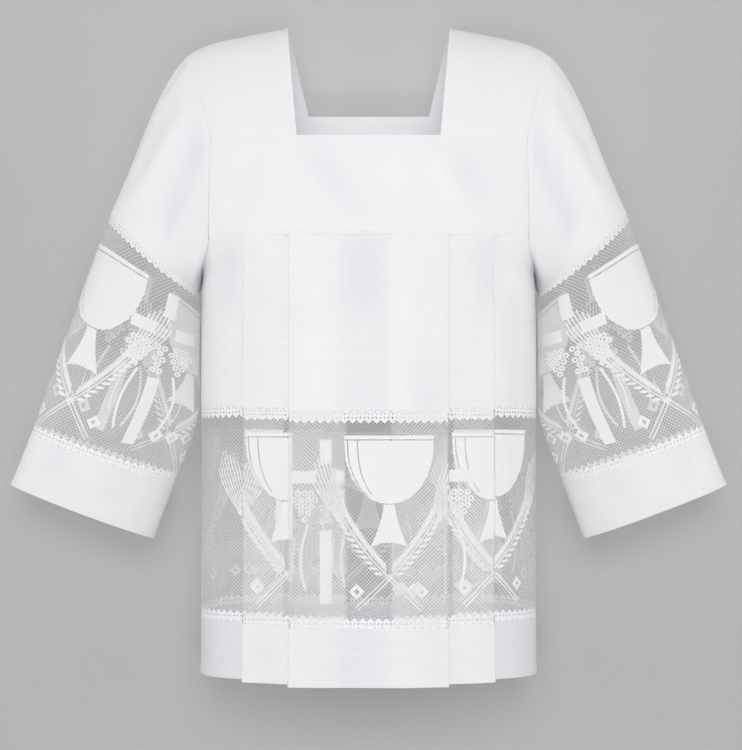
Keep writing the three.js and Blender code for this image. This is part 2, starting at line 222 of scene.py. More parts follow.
def pleated_path():
    """Columns over the cut's length from the centre line: x, layer, turn and side share."""
    rows, layer, start = [], 2 * len(PLEATS), 0.0
    for crest, root in PLEATS:
        for end, way, begin in ((crest, 1, start), (root, -1, crest)):
            reach = np.linspace(begin, end, 14)
            turns = [way * float(begin != 0)] + [0.0] * 12 + [-way]
            rows += [(x, layer, turn, 0) for x, turn in zip(reach, turns)]
            for turn in np.linspace(0, math.pi, 9)[1:-1]:
                rows.append((end, layer - (1 - math.cos(turn)) / 2, way * (math.sin(turn) - 1), 0))
            layer -= 1
        start = root
    for x in np.linspace(start, LAST_CREST, 12):
        rows.append((x, layer, float(x == start), 0))
    rows += [(LAST_CREST, layer, 0, share) for share in np.linspace(0, 1, 60)[1:]]
    return np.array(rows)


PATH_ROWS = pleated_path()
half = PATH_ROWS[:, 0] + PATH_ROWS[:, 2] * LAYER_SPACING["below"] / 2
start_angle = angle_of_x(half, REFERENCE)
path_x, path_y, out_x, out_y = body_at_angle(
    "front", side_angle(PATH_ROWS[:, 3], start_angle), REFERENCE
)
path_x = path_x + out_x * PATH_ROWS[:, 1] * LAYER_SPACING["below"]
path_y = path_y + out_y * PATH_ROWS[:, 1] * LAYER_SPACING["below"]
PATH_LENGTH = np.concatenate([[0], np.cumsum(np.hypot(np.diff(path_x), np.diff(path_y)))])
HALF_CUT = float(PATH_LENGTH[-1])
print("each skirt is cut", round(2 * HALF_CUT, 3), "m wide")


# %% A point of the pleated cloth
def skirt_point(face, along, height):
    """The place of a point of the cut: 'along' from the centre line, and its level height."""
    columns = [np.interp(np.abs(along), PATH_LENGTH, PATH_ROWS[:, c]) for c in range(4)]
    x, layer, turn, share = columns
    fall = np.clip((YOKE_SEAM - height) / (YOKE_SEAM - SIDE_START), 0, 1)
    spacing = mix(LAYER_SPACING["seam"], LAYER_SPACING["below"], fall)
    corner = np.clip((share - CORNER_SHARE) / (1 - CORNER_SHARE), 0, 1)
    arm_angle, arm_height = underarm(face, np.sin(corner * math.pi / 2))
    across = mix(LAST_CREST, ARMHOLE["seam"], np.minimum(1, share / CORNER_SHARE))
    top_angle = np.where(share > CORNER_SHARE, arm_angle, angle_of_x(across, YOKE_SEAM))
    top_height = np.where(share > CORNER_SHARE, arm_height, YOKE_SEAM)
    level = np.minimum(height, SIDE_START)
    below_angle = side_angle(share, angle_of_x(LAST_CREST, level))
    side_height = np.where(fall < 1, mix(top_height, SIDE_START, fall), height)
    flat_angle = angle_of_x(x + turn * spacing / 2, height)
    join_angle = mix(angle_of_x(LAST_CREST, YOKE_SEAM), angle_of_x(LAST_CREST, level), fall)
    mend = (angle_of_x(LAST_CREST, height) - join_angle) * (1 - share) ** 3
    angle = np.where(share > 0, mix(top_angle, below_angle, fall) + mend, flat_angle)
    z = np.where(share > 0, side_height, height)
    half, deep, out_x, out_y = body_at_angle(face, np.clip(angle, 0, math.pi / 2), z)
    sign = np.where(along < 0, -1, 1) * (1 if face == "front" else -1)
    out = layer * spacing - crease_depth(face, sign * half, z) * (1 - 0.7 * share)
    lifted = LIFT["pleat"] * (len(PLEATS) - layer / 2)
    lifted = lifted * np.clip((YOKE_SEAM - z) / (YOKE_SEAM - LIFT["full"]), 0, 1) * (1 - 0.5 * share)
    return np.stack(
        [sign * (half + out_x * out), FACE_SIGN[face] * (deep + out_y * out), z + lifted], axis=-1
    )


print("hem centre at", np.round(skirt_point("front", np.array([0.0]), np.array([HEM]))[0], 4))

# %% [markdown]
# ## Yokes and shoulder pieces
# The yoke is a level band that bulges a little at its lower edge, where it covers the stack of
# pleats. A shoulder piece runs from the front yoke over the shoulder's crest to the back yoke.
# It narrows as it climbs, so its point is found by a few rounds of correction.

# %% Points of the yoke and the shoulder
YOKE_RISE = {"centre": 0.0058, "flat": 0.060, "gone": 0.190, "height": 0.045}


def yoke_point(face, along, height):
    """'along' is the share of the half width, from -1 to 1."""
    x = along * armhole_half(height) * (1 if face == "front" else -1)
    centre = 1 - ease((np.abs(x) - YOKE_RISE["flat"]) / (YOKE_RISE["gone"] - YOKE_RISE["flat"]))
    low = 1 - ease((height - YOKE_SEAM) / YOKE_RISE["height"])
    depth = body_depth(face, x, height) + YOKE_RISE["centre"] * centre * low
    edge = ease((1 - np.abs(along)) * 8)
    depth = depth - crease_depth(face, x, height) * edge * ease((height - YOKE_SEAM) / 0.02 + 0.6)
    return np.stack([x, FACE_SIGN[face] * depth, np.broadcast_to(height, x.shape)], axis=-1)


def shoulder_point(out, rise):
    """'out' runs from neck (0) to armhole (1), 'rise' from the back seam (-1) to the front (1)."""
    front = rise > 0
    seam = np.where(front, FRONT_NECK, BACK_NECK)
    neck = np.where(front, NECK["front"], NECK["back"])
    climb = 1 - np.abs(rise)
    x = mix(neck, ARMHOLE["chest"], out)
    for _ in range(8):
        top = ridge(x) - YOKE_SEAM
        start = np.arcsin(np.clip((seam - YOKE_SEAM) / top, 0, 1))
        height = YOKE_SEAM + top * np.sin(mix(start, math.pi / 2, climb))
        x = mix(mix(neck, NECK["top"], np.clip(1 - height / seam, 0, 1)), armhole_half(height), out)
    depth = np.where(front, -body_depth("front", x, height), body_depth("back", x, height))
    return np.stack([x, depth, height], axis=-1)


neck_corner = shoulder_point(np.array([0.0]), np.array([1.0]))[0]
print("the neck's front corner lies at", np.round(neck_corner, 4))

# %% [markdown]
# ## The sleeves
# A sleeve starts at the armhole, whose edge is a bent loop, and ends in an oval ring at the cuff.
# The rings of the lace and the cuff are listed as they are seen from the front, and a smooth
# curve through the list gives the rings between. Turning an angle into a length round the ring
# keeps the lace even, because an oval is wider at its front than at its ends.

# %% Sleeve rings
RINGS = {
    "outer_x": [0.3338, 0.3696, 0.4044, 0.4385, 0.4645],
    "outer_z": [-0.239, -0.3347, -0.4303, -0.526, -0.5915],
    "inner_x": [0.2195, 0.2195, 0.2225, 0.253, 0.2795],
    "inner_z": [-0.341, -0.423, -0.5045, -0.590, -0.661],
    "half_depth": [0.074, 0.060, 0.045, 0.043, 0.039],
    "bow": [-0.006, -0.007, -0.007, -0.002, 0],
}
HEM_RING, CUFF_RING = 3, 4
BULGE = {"depth": 0.0102, "early": 0.545, "power": 1.5}
SLEEVE_START = {"top": -0.0004, "armpit": 0.0006}
BODY_CLEARANCE = 0.0022
SLEEVE_CREASES = [
    # degrees round from the outer edge, lean, start, end, width, depth
    (-84, -22, 0.02, 0.84, 15, 0.0056),
    (-52, 6, 0.04, 0.90, 11, -0.0020),
    (-40, 4, 0.10, 0.80, 10, 0.0024),
    (-18, 2, 0.00, 0.30, 6, 0.0018),
    (-142, -8, 0.20, 1.00, 10, -0.0020),
    (84, -8, 0.02, 0.98, 14, 0.0056),
    (28, 5, 0.00, 0.45, 8, 0.0022),
    (112, 10, 0.10, 0.95, 10, 0.0024),
]
CUFF_CREASES = [
    (-58, 4, 0.2, 4.0, 13, 0.0022),
    (-112, -5, 0.6, 4.0, 12, 0.0018),
    (66, 5, 0.3, 4.0, 14, 0.0022),
    (128, -4, 1.0, 4.0, 12, 0.0016),
]
print(len(SLEEVE_CREASES) + len(CUFF_CREASES), "creases on each sleeve")


def ring_value(column, place):
    """A column of the rings on a smooth curve, at a place that counts the rings from 0."""
    values = np.array(RINGS[column])
    values = np.concatenate([values[:1], values, values[-1:]])
    row = np.clip(np.floor(place).astype(int), 0, len(values) - 4)
    before, start, end, after = (values[row + k] for k in range(4))
    t = np.clip(place - row, 0, 1)
    rise, fall = (end - before) / 2, (after - start) / 2
    cubic = 2 * start - 2 * end + rise + fall
    square = -3 * start + 3 * end - 2 * rise - fall
    return ((cubic * t + square) * t + rise) * t + start


def body_side(y, height):
    """How far the body's side stands out under the arm, at a depth and a height."""
    low = np.minimum(height, ARMPIT)
    face_depth = np.where(y < 0, section("front", low), section("back", low))
    inside = np.maximum(0, 1 - (np.abs(y) / face_depth) ** POWER)
    return section("half", low) * inside ** (1 / POWER)


def ring_creases(table, degrees, place):
    """How far the sleeve sinks at a place round it and along it."""
    total = np.zeros(np.broadcast(degrees, place).shape)
    for middle, lean, start, end, width, depth in table:
        share = (place - start) / (end - start)
        off = (degrees - middle - lean * (share - 0.5) + 180) % 360 - 180
        inside = ease(share * 6) * ease((1 - share) * 5)
        total += depth * inside * np.exp(-((off / width) ** 2))
    return total


def ring_point(angle, place):
    """A point of the sleeve's lace or cuff."""
    out, side = (1 + np.cos(angle)) / 2, np.sin(angle)
    x = mix(ring_value("inner_x", place), ring_value("outer_x", place), out)
    z = mix(ring_value("inner_z", place), ring_value("outer_z", place), out)
    z = z + ring_value("bow", place) * side**2
    y = ring_value("half_depth", place) * side
    sink = ring_creases(CUFF_CREASES, np.degrees(angle), place)
    y = y - np.sign(side) * sink * np.abs(side)
    return np.stack([np.maximum(x, body_side(y, z) + BODY_CLEARANCE), y, z], axis=-1)


# %% Even spacing round a ring
RING_PLACES = np.linspace(0, CUFF_RING, 17)
RING_SHARES = np.linspace(0, 1, 361)


def ring_tables():
    """For each place along the sleeve, the angle at each share of the ring, and its length."""
    angles = np.linspace(0, 2 * math.pi, 721)
    tables, lengths = [], []
    for place in RING_PLACES:
        points = ring_point(angles, np.full(angles.shape, place))
        steps = np.linalg.norm(np.diff(points, axis=0), axis=1)
        total = np.concatenate([[0], np.cumsum(steps)])
        tables.append(np.interp(RING_SHARES, total / total[-1], angles))
        lengths.append(total[-1])
    return np.array(tables), lengths


RING_ANGLES, RING_LENGTHS = ring_tables()
SLEEVE_CUT = float(np.mean(RING_LENGTHS))
print("rings measure", [round(x, 3) for x in RING_LENGTHS[::4]], "m")
print("so the sleeve is cut", round(SLEEVE_CUT, 3), "m wide")


def ring_angle(share, place):
    """The angle at a share of the way round, between the listed places."""
    row = np.clip(place, 0, CUFF_RING) / CUFF_RING * (len(RING_PLACES) - 1)
    low = np.minimum(row.astype(int), len(RING_PLACES) - 2)
    step = np.mod(share, 1.0) * (len(RING_SHARES) - 1)
    left = np.minimum(step.astype(int), len(RING_SHARES) - 2)
    t, s = row - low, step - left
    lower = mix(RING_ANGLES[low, left], RING_ANGLES[low, left + 1], s)
    upper = mix(RING_ANGLES[low + 1, left], RING_ANGLES[low + 1, left + 1], s)
    return mix(lower, upper, t)


def sleeve_point(share, place):
    """A point of the lace or cuff, by its share of the way round."""
    return ring_point(ring_angle(share, place), place)


def armhole_point(angle):
    """The armhole's edge: 0 at the top, half a turn at the armpit, positive at the back."""
    height = mix(ARMPIT, ARMHOLE_TOP, (1 + np.cos(angle)) / 2)
    back = np.sin(angle) > 0
    x_high = armhole_half(np.maximum(height, YOKE_SEAM))
    drop = np.clip((YOKE_SEAM - height) / (YOKE_SEAM - ARMPIT), 0, 1)
    points = {}
    for face in ("front", "back"):
        low_angle, low_height = underarm(face, drop)
        low_x, low_y, _, _ = body_at_angle(face, low_angle, low_height)
        high_y = body_depth(face, x_high, np.maximum(height, YOKE_SEAM))
        x = np.where(height > YOKE_SEAM, x_high, low_x)
        y = FACE_SIGN[face] * np.where(height > YOKE_SEAM, high_y, low_y)
        points[face] = np.stack([x, y, height], axis=-1)
    return np.where(back[..., None], points["back"], points["front"])


def upper_sleeve_point(share, fall):
    """A point of the upper sleeve, from the armhole (0) to the lace (1)."""
    angle = ring_angle(share, np.zeros(share.shape))
    away = mix(SLEEVE_START["armpit"], SLEEVE_START["top"], (1 + np.cos(angle)) / 2)
    start, lace_edge = armhole_point(angle), ring_point(angle, np.zeros(share.shape))
    start[..., 0] += away
    beyond, fall = np.maximum(0, fall - 1), np.minimum(1, fall)
    point = mix(start, lace_edge, fall[..., None])
    swell = np.maximum(0, np.sin(math.pi * fall ** BULGE["early"])) ** BULGE["power"]
    push = BULGE["depth"] * swell * np.maximum(0, np.cos(angle))
    push = push - ring_creases(SLEEVE_CREASES, np.degrees(angle), fall) * ease(fall * 12)
    way = np.stack([np.cos(angle), np.sin(angle), 0.4 * np.cos(angle)], axis=-1)
    point = point + unit(way) * push[..., None]
    clearance = mix(SLEEVE_START["armpit"], BODY_CLEARANCE, np.clip(3 * fall, 0, 1))
    beside = body_side(point[..., 1], point[..., 2]) + clearance
    low = point[..., 2] < ARMPIT
    point[..., 0] = np.where(low, np.maximum(point[..., 0], beside), point[..., 0])
    return point + ring_point(angle, beyond * 2.5) - lace_edge


def worn_on(sign, place):
    """The same place function for the right side (1), or mirrored for the left side (-1)."""
    return lambda u, v: place(u, v) * np.array([sign, 1, 1])


# %% [markdown]
# ## Laying out plain cloth
# A plain piece starts as a grid, the flat cut. Its rows and columns are closer together at edges
# and folds, where the form turns quickly. The grid is moved to its worn place point by point,
# the seams and hems are rolled along the cloth's own normal, and Solidify gives it a thickness.

# %% Grid cloth
CLOTH_THICK = 0.0008
# Crease depths become painted shade in the material; this depth gets all of it.
DEEP_CREASE = 0.005  # a trough of this depth looks fully shaded
# Painted shade for the hem's single-layer sides, given as if it were a crease depth.
HEM_SIDE_SHADE = 0.007  # the same shade for the single cloth of the hem's sides
plain, lace, stitches = {}, {}, []  # the pieces made so far


def spaced(start, end, step, fine=0.0009, zone=0.006):
    """Values from start to end, about a step apart and finer within a zone of each end."""
    size = abs(end - start)
    edge = np.linspace(0, zone, max(2, round(zone / fine)))[:-1]
    middle = np.linspace(zone, size - zone, max(2, round((size - 2 * zone) / step)))
    inside = np.concatenate([edge, middle, size - edge[::-1]])
    return start + np.sign(end - start) * inside


def normals_of(points, closed=False):
    """Outward directions of a grid of points, rows first."""
    if closed:
        body = points[:, :-1]
        along = np.roll(body, -1, axis=1) - np.roll(body, 1, axis=1)
        along = np.concatenate([along, along[:, :1]], axis=1)
    else:
        along = np.gradient(points, axis=1)
    up = np.gradient(points, axis=0)
    return unit(np.cross(along, up))


def outward(place, u, v, e=0.0005):
    """The direction out of a sheet at places on its cut."""
    return unit(np.cross(place(u + e, v) - place(u - e, v), place(u, v + e) - place(u, v - e)))


def grid_cloth(node, across, up, place, cut=None, relief=None, closed=False, sink=None):
    """Lays a piece out flat as a grid and sets it to its worn place. 'cut' gives its UV map,
    'relief' its seams and hems, and 'sink' the depth of its creases, stored for painted shade."""
    bpy.ops.object.select_all(action="DESELECT")
    bpy.ops.mesh.primitive_grid_add(x_subdivisions=len(across) - 1, y_subdivisions=len(up) - 1, size=1)
    piece = bpy.context.object
    piece.name = piece.data.name = "cloth_" + node
    mesh = piece.data
    flat = np.empty(len(mesh.vertices) * 3)
    mesh.vertices.foreach_get("co", flat)
    flat = flat.reshape(-1, 3)
    column = np.rint((flat[:, 0] + 0.5) * (len(across) - 1)).astype(int)
    row = np.rint((flat[:, 1] + 0.5) * (len(up) - 1)).astype(int)
    u, v = np.meshgrid(across, up)
    points = place(u, v)
    if relief is not None:
        points = points + normals_of(points, closed) * relief(u, v)[..., None]
    mesh.vertices.foreach_set("co", points[row, column].ravel())
    cut_u, cut_v = (u, v) if cut is None else cut(u, v)
    add_cut_map(mesh, cut_u[row, column], cut_v[row, column])
    if sink is not None:
        # The crease depth is stored as painted shade, which darkens the cloth in the material.
        painted_shade = mesh.attributes.new("painted_shade", "FLOAT", "POINT")
        painted_shade.data.foreach_set("value", (sink(u, v)[row, column] / DEEP_CREASE).ravel())
    if closed:
        bpy.ops.object.mode_set(mode="EDIT")
        bpy.ops.mesh.select_all(action="SELECT")
        bpy.ops.mesh.remove_doubles(threshold=0.00001)
        bpy.ops.object.mode_set(mode="OBJECT")
    solid = piece.modifiers.new("thickness", "SOLIDIFY")
    solid.thickness, solid.offset = CLOTH_THICK, 0
    bpy.ops.object.modifier_apply(modifier=solid.name)
    bpy.ops.object.shade_smooth_by_angle(angle=math.radians(50))
    plain[node] = declare(piece, node)


def add_cut_map(mesh, u, v):
    """A UV map in metres on the flat cut."""
    if "cut" not in mesh.uv_layers:
        mesh.uv_layers.new(name="cut")
    for other in [x for x in mesh.uv_layers if x.name != "cut"]:
        mesh.uv_layers.remove(other)
    layer = mesh.uv_layers["cut"]
    corner = np.empty(len(mesh.loops), dtype=np.int32)
    mesh.loops.foreach_get("vertex_index", corner)
    layer.data.foreach_set("uv", np.stack([u[corner], v[corner]], axis=-1).ravel())


def declare(piece, node):
    """What every piece states: its body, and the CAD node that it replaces."""
    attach(piece, "root")
    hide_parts(node)
    print(piece.name, len(piece.data.polygons), "faces")
    return piece


def piece_of(name, points, faces):
    """A new object with a mesh of these points and faces."""
    mesh = bpy.data.meshes.new(name)
    mesh.from_pydata(points, [], faces)
    piece = bpy.data.objects.new(name, mesh)
    bpy.context.scene.collection.objects.link(piece)
    return piece


# %% [markdown]
# ## Seams and hems
# A sewn edge rolls in slightly, so that a fine shadow line shows where two pieces meet. A turned
# hem is three layers thick, with a groove where the stitches pull it in. Both are small bumps
# along the normal, given by the distance from the edge.

# %% Relief of seams and hems
SEAM_ROLL, SEAM_WIDTH = 0.0007, 0.0016
HEM_TURN, HEM_THICK = 0.0105, 0.0006  # the turned hem's depth, and what its layers add
HEM_LINE = HEM_TURN - 0.0014  # the hem's row of stitches
YOKE_LINE, NECK_LINE = 0.0035, 0.0055  # rows of stitches from the yoke seam and the neck's edge


def seam_roll(distance):
    return -SEAM_ROLL * np.exp(-((distance / SEAM_WIDTH) ** 2))


def groove(distance, place, depth=0.00035, width=0.0011):
    return -depth * np.exp(-(((distance - place) / width) ** 2))


def turned_hem(distance):
    thick = HEM_THICK * (1 - ease((distance - HEM_TURN) / 0.0012))
    return thick + groove(distance, HEM_LINE, 0.0005, 0.0010)


print("hems are turned by", HEM_TURN, "m and stitched", round(HEM_LINE, 4), "m from the edge")

# %% [markdown]
# ## The plain pieces
# Every piece below is one grid: the yokes across the chest and the back, the shoulder pieces,
# the pleated skirts, the skirt's hems, the upper sleeves and the cuffs.

# %% Yokes
YOKE_ACROSS = np.concatenate([spaced(-1, 0, 0.02, 0.006, 0.03), spaced(0, 1, 0.02, 0.006, 0.03)[1:]])
for face, top in NECK_EDGE.items():

    def yoke_relief(u, v, top=top, face=face):
        side = (1 - np.abs(u)) * ARMHOLE["chest"]
        neck = ease((np.abs(u) * armhole_half(top) - NECK[face]) / 0.004)
        relief = seam_roll(v - YOKE_SEAM) + groove(v - YOKE_SEAM, YOKE_LINE)
        relief = relief + seam_roll(side) + seam_roll(top - v) * neck
        return relief + groove(top - v, NECK_LINE) * (1 - neck)

    def yoke_sink(u, v, face=face):
        x = u * armhole_half(v) * (1 if face == "front" else -1)
        return crease_depth(face, x, v)

    grid_cloth(
        "yoke_" + face,
        YOKE_ACROSS,
        spaced(YOKE_SEAM, top, 0.005),
        lambda u, v, face=face: yoke_point(face, u, v),
        cut=lambda u, v: (u * armhole_half(v), v),
        relief=yoke_relief,
        sink=yoke_sink,
    )

# %% Shoulder pieces
SHOULDER_LENGTH, SHOULDER_WIDTH, SHOULDER_WIDEST = 0.345, 0.11, 0.135
SHOULDER_AWAY = 0.09  # from the centre line to the neck's edge, on the cut


def shoulder_relief(u, v):
    seam = (1 - np.abs(v)) * SHOULDER_LENGTH / 2
    inner, outer = u * SHOULDER_WIDTH, (1 - u) * SHOULDER_WIDTH
    return seam_roll(seam) + seam_roll(outer) + groove(inner, NECK_LINE) + seam_roll(inner) * 0.4


for side, sign in SIDES.items():
    grid_cloth(
        "shoulder_" + side,
        spaced(0, 1, 0.05, 0.008, 0.05) if sign > 0 else spaced(1, 0, 0.05, 0.008, 0.05),
        spaced(1, -1, 0.03, 0.006, 0.04),
        worn_on(sign, shoulder_point),
        cut=lambda u, v: (u * SHOULDER_WIDTH + SHOULDER_AWAY, v * SHOULDER_LENGTH / 2),
        relief=shoulder_relief,
    )

# %% Skirts
OVERLAP = 0.0012  # plain cloth laps over the lace's edge
HEM_SIDE = 0.385  # from here on the hem is a single layer of cloth


def pleat_columns(step=0.006, fine=0.0006):
    """Places across a whole cut, finer where the cloth turns at a crest or root."""
    turning = np.abs(np.gradient(PATH_ROWS[:, 1])) > 0.01
    folds = PATH_LENGTH[turning]
    half, here = [0.0], 0.0
    while here < HALF_CUT - 0.0001:
        near = np.min(np.abs(folds - here - fine)) < 0.002
        onward = fine if near else min(step, max(fine, np.min(np.abs(folds - here))))
        here = min(HALF_CUT, here + onward)
        half.append(here)
    half = np.array(half)
    return np.concatenate([-half[:0:-1], half])


COLUMNS = pleat_columns()
HEM_ROWS = np.concatenate(
    [np.linspace(HEM, HEM + 0.014, 18), np.linspace(HEM + 0.014, LACE_BOTTOM + OVERLAP, 12)[1:]]
)
print(len(COLUMNS), "columns across each skirt")
for face in ("front", "back"):

    def skirt_relief(u, v):
        side = HALF_CUT - np.abs(u)
        return seam_roll(YOKE_SEAM - v) * 0.6 + seam_roll(side) * 0.5

    def hem_relief(u, v):
        side = HALF_CUT - np.abs(u)
        return turned_hem(v - HEM) + seam_roll(side) * 0.5

    def skirt_sink(u, v, face=face):
        return crease_depth(face, skirt_point(face, u, v)[..., 0], v)

    # Painted shade: the hem's sides, a single cloth, are darkened like a deep crease.
    def hem_shade_depth(u, v, sink=skirt_sink):
        return sink(u, v) + HEM_SIDE_SHADE * ease((np.abs(u) - HEM_SIDE) / 0.01)

    grid_cloth(
        "skirt_" + face,
        COLUMNS,
        spaced(LACE_TOP - OVERLAP, YOKE_SEAM, 0.006),
        lambda u, v, face=face: skirt_point(face, u, v),
        relief=skirt_relief,
        sink=skirt_sink,
    )
    grid_cloth(
        "hem_" + face,
        COLUMNS,
        HEM_ROWS,
        lambda u, v, face=face: skirt_point(face, u, v),
        relief=hem_relief,
        sink=hem_shade_depth,
    )

# %% Sleeves and cuffs
ROUND = np.linspace(0, 1, 121)
SLEEVE_LENGTH, CUFF_LENGTH = 0.23, 0.072
# Both reach a little under the lace's edges, and a cuff has most rows in the turn of its hem.
SLEEVE_ROWS = np.concatenate([[1.006], spaced(1, 0, 0.03, 0.004, 0.024)])
CUFF_ROWS = np.concatenate([np.linspace(4, 3.80, 18), np.linspace(3.80, 2.985, 12)[1:]])


def sleeve_sink(u, v):
    return ring_creases(SLEEVE_CREASES, np.degrees(ring_angle(u, 0 * u)), np.clip(v, 0, 1))


def cuff_sink(u, v):
    return ring_creases(CUFF_CREASES, np.degrees(ring_angle(u, v)), v)


for side, sign in SIDES.items():
    across = ROUND if sign > 0 else ROUND[::-1]
    grid_cloth(
        "sleeve_" + side,
        across,
        SLEEVE_ROWS,
        worn_on(sign, upper_sleeve_point),
        cut=lambda u, v: (u * SLEEVE_CUT, (1 - v) * SLEEVE_LENGTH),
        relief=lambda u, v: seam_roll(v * SLEEVE_LENGTH) * 0.6,
        closed=True,
        sink=sleeve_sink,
    )
    grid_cloth(
        "cuff_" + side,
        across,
        CUFF_ROWS,
        worn_on(sign, sleeve_point),
        cut=lambda u, v: (u * SLEEVE_CUT, (CUFF_RING - v) * CUFF_LENGTH),
        relief=lambda u, v: turned_hem((CUFF_RING - v) * CUFF_LENGTH),
        closed=True,
        sink=cuff_sink,
    )

# %% [markdown]
# ## Stitches
# Hems and seams are held by a line of machine stitches, about 3 mm long. Each one here is a small
# pointed bead of thread, and all the beads of one piece are a single joined mesh.

# %% Rows of stitches
STITCH = {"pitch": 0.0030, "length": 0.0024, "width": 0.0007, "height": 0.0004}


def stitch_rows(node, place, lines, inset=0.0):
    """One bead for each stitch of level lines on the cut, each with its ends and its height.
    'place' gives the points, and the beads start and end an inset away from the line's ends."""
    corners, faces = [], []
    for left, right, height in lines:
        length = right - left
        count = int(length / STITCH["pitch"])
        reach = length - 2 * inset
        u = left + inset + (np.arange(count) + 0.5) / count * reach
        v = np.full(count, height)
        step = reach / length * STITCH["length"] / 2
        middle = place(u, v)
        ahead = place(u + step, v) - middle
        beside = unit(place(u, v + step) - middle) * STITCH["width"] / 2
        out = unit(np.cross(ahead, beside)) * STITCH["height"]
        first = len(corners) + 6 * np.arange(count)[:, None]
        bead = [middle + way for way in (-ahead, -beside, ahead, beside, out, -out)]
        corners += np.stack(bead, axis=1).reshape(-1, 3).tolist()
        for a, b in ((0, 1), (1, 2), (2, 3), (3, 0)):
            faces += np.concatenate([first + a, first + b, first + 4], axis=1).tolist()
            faces += np.concatenate([first + b, first + a, first + 5], axis=1).tolist()
    stitches.append(declare(piece_of("stitches_" + node, corners, faces), node))


def raised(place, lift):
    """The same place function, moved out along the sheet's normal."""
    return lambda u, v: place(u, v) + lift * outward(place, u, v)


# %% Hems, yokes and cuffs get their stitches
ON_HEM, ON_YOKE = 0.0007, 0.0003  # how far the stitches lie from the cloth's middle
YOKE_ROW = 0.198  # half the length of the row along the yoke seam
for face, top in NECK_EDGE.items():
    hung = raised(lambda u, v, face=face: skirt_point(face, u, v), ON_HEM)
    stitch_rows("hem_" + face, hung, [(-HALF_CUT, HALF_CUT, HEM + HEM_LINE)], inset=0.002)
    band = raised(lambda u, v, face=face: yoke_point(face, u / ARMHOLE["seam"], v), ON_YOKE)
    low, high, neck = YOKE_SEAM + YOKE_LINE, top - NECK_LINE, NECK[face] - 0.001
    stitch_rows("yoke_" + face, band, [(-YOKE_ROW, YOKE_ROW, low), (-neck, neck, high)])


def tube_place(sign, ring, step):
    """The points of a sleeve's tube, which starts at a ring. 'step' is the cloth from ring to ring."""

    def place(u, v):
        return sleeve_point(sign * u / SLEEVE_CUT + 1, ring - v / step)

    return worn_on(sign, place)


for side, sign in SIDES.items():
    tube = tube_place(sign, CUFF_RING, CUFF_LENGTH)
    stitch_rows("cuff_" + side, raised(tube, ON_HEM), [(0, SLEEVE_CUT, HEM_LINE)])

# %% [markdown]
# ## The lace
# This is machine made lace: a net of small diamond meshes with denser figures knitted into it.
# Cups stand over crossed ears of wheat, with plain crosses beside them, between border rows of
# fine holes. Every open mesh is a real hole with threads round it.
#
# First comes the net. It is charted on a lattice of diamonds, each with the size of its hole.
# Then the figures are laid on as smooth strips of dense knitting, a fraction of a millimetre up.

# %% Sizes of the lace
MESH_STEP = 0.00247  # half the diagonal of one diamond mesh
LACE_HEIGHT = LACE_TOP - LACE_BOTTOM
WIDE, OPEN, FINE, TINY, SOLID = 0.89, 0.86, 0.56, 0.42, 0.0  # the hole's share of a mesh
REPEAT, CROSS_AT = 0.262, 0.090  # from cup to cup, and from a cup to its cross
CROSSING, RIM, BOWL_LOW, BOWL_HALF, FOOT_LOW = 0.064, 0.233, 0.155, 0.056, 0.102
FAR_AWAY = 9.0
print("the lace is", round(LACE_HEIGHT / MESH_STEP / 2), "meshes high")


def bowl_half(h):
    return BOWL_HALF * np.sqrt(np.clip(1 - np.clip((RIM - h) / (RIM - BOWL_LOW), 0, 1) ** 2.2, 0, 1))


def foot_half(h):
    return 0.0072 + 0.0155 * np.clip((BOWL_LOW - h) / (BOWL_LOW - FOOT_LOW), 0, 1) ** 1.7


def from_nearest(s, places):
    """How far each place lies from the nearest of the figures at these places."""
    if not len(places):
        return np.full(s.shape, FAR_AWAY)
    away = s[..., None] - np.array(places)
    return np.take_along_axis(away, np.abs(away).argmin(axis=-1)[..., None], axis=-1)[..., 0]


# %% Chart of the net
NONE = (SOLID, 2)
TOP_PLAN = [NONE, (TINY, 4), (TINY, 2), NONE, (FINE, 2), NONE, (OPEN, 4)]
LOW_PLAN = [NONE, (TINY, 4), NONE, (FINE, 2), NONE, (OPEN, 4)]
TILT_DROP = 0.056  # from a cup, the place where a tilt leaves the height as it is
SHINE = (0.92, 0.70)  # two lines of shine on the bowl, as shares of its half width
RIM_BAND = {"gap": 0.0016, "height": 0.0062}
POST = {"half": 0.0074, "foot": (0.030, 0.121), "head": (0.203, 0.2325)}
BEAM = {"low": 0.1785, "high": 0.1935, "half": 0.043, "middle": 0.0125}
print(len(TOP_PLAN), "border rows at the lace's top and", len(LOW_PLAN), "at its foot")


def border(kind, edge, i, plan):
    """Solid rows along an edge, some with small holes. 'plan' gives hole and period, row by row."""
    kind[edge < len(plan)] = SOLID
    for row, (hole, period) in enumerate(plan):
        if hole:
            kind[(edge == row) & ((i + row + 1) % period == 0)] = hole
    return kind


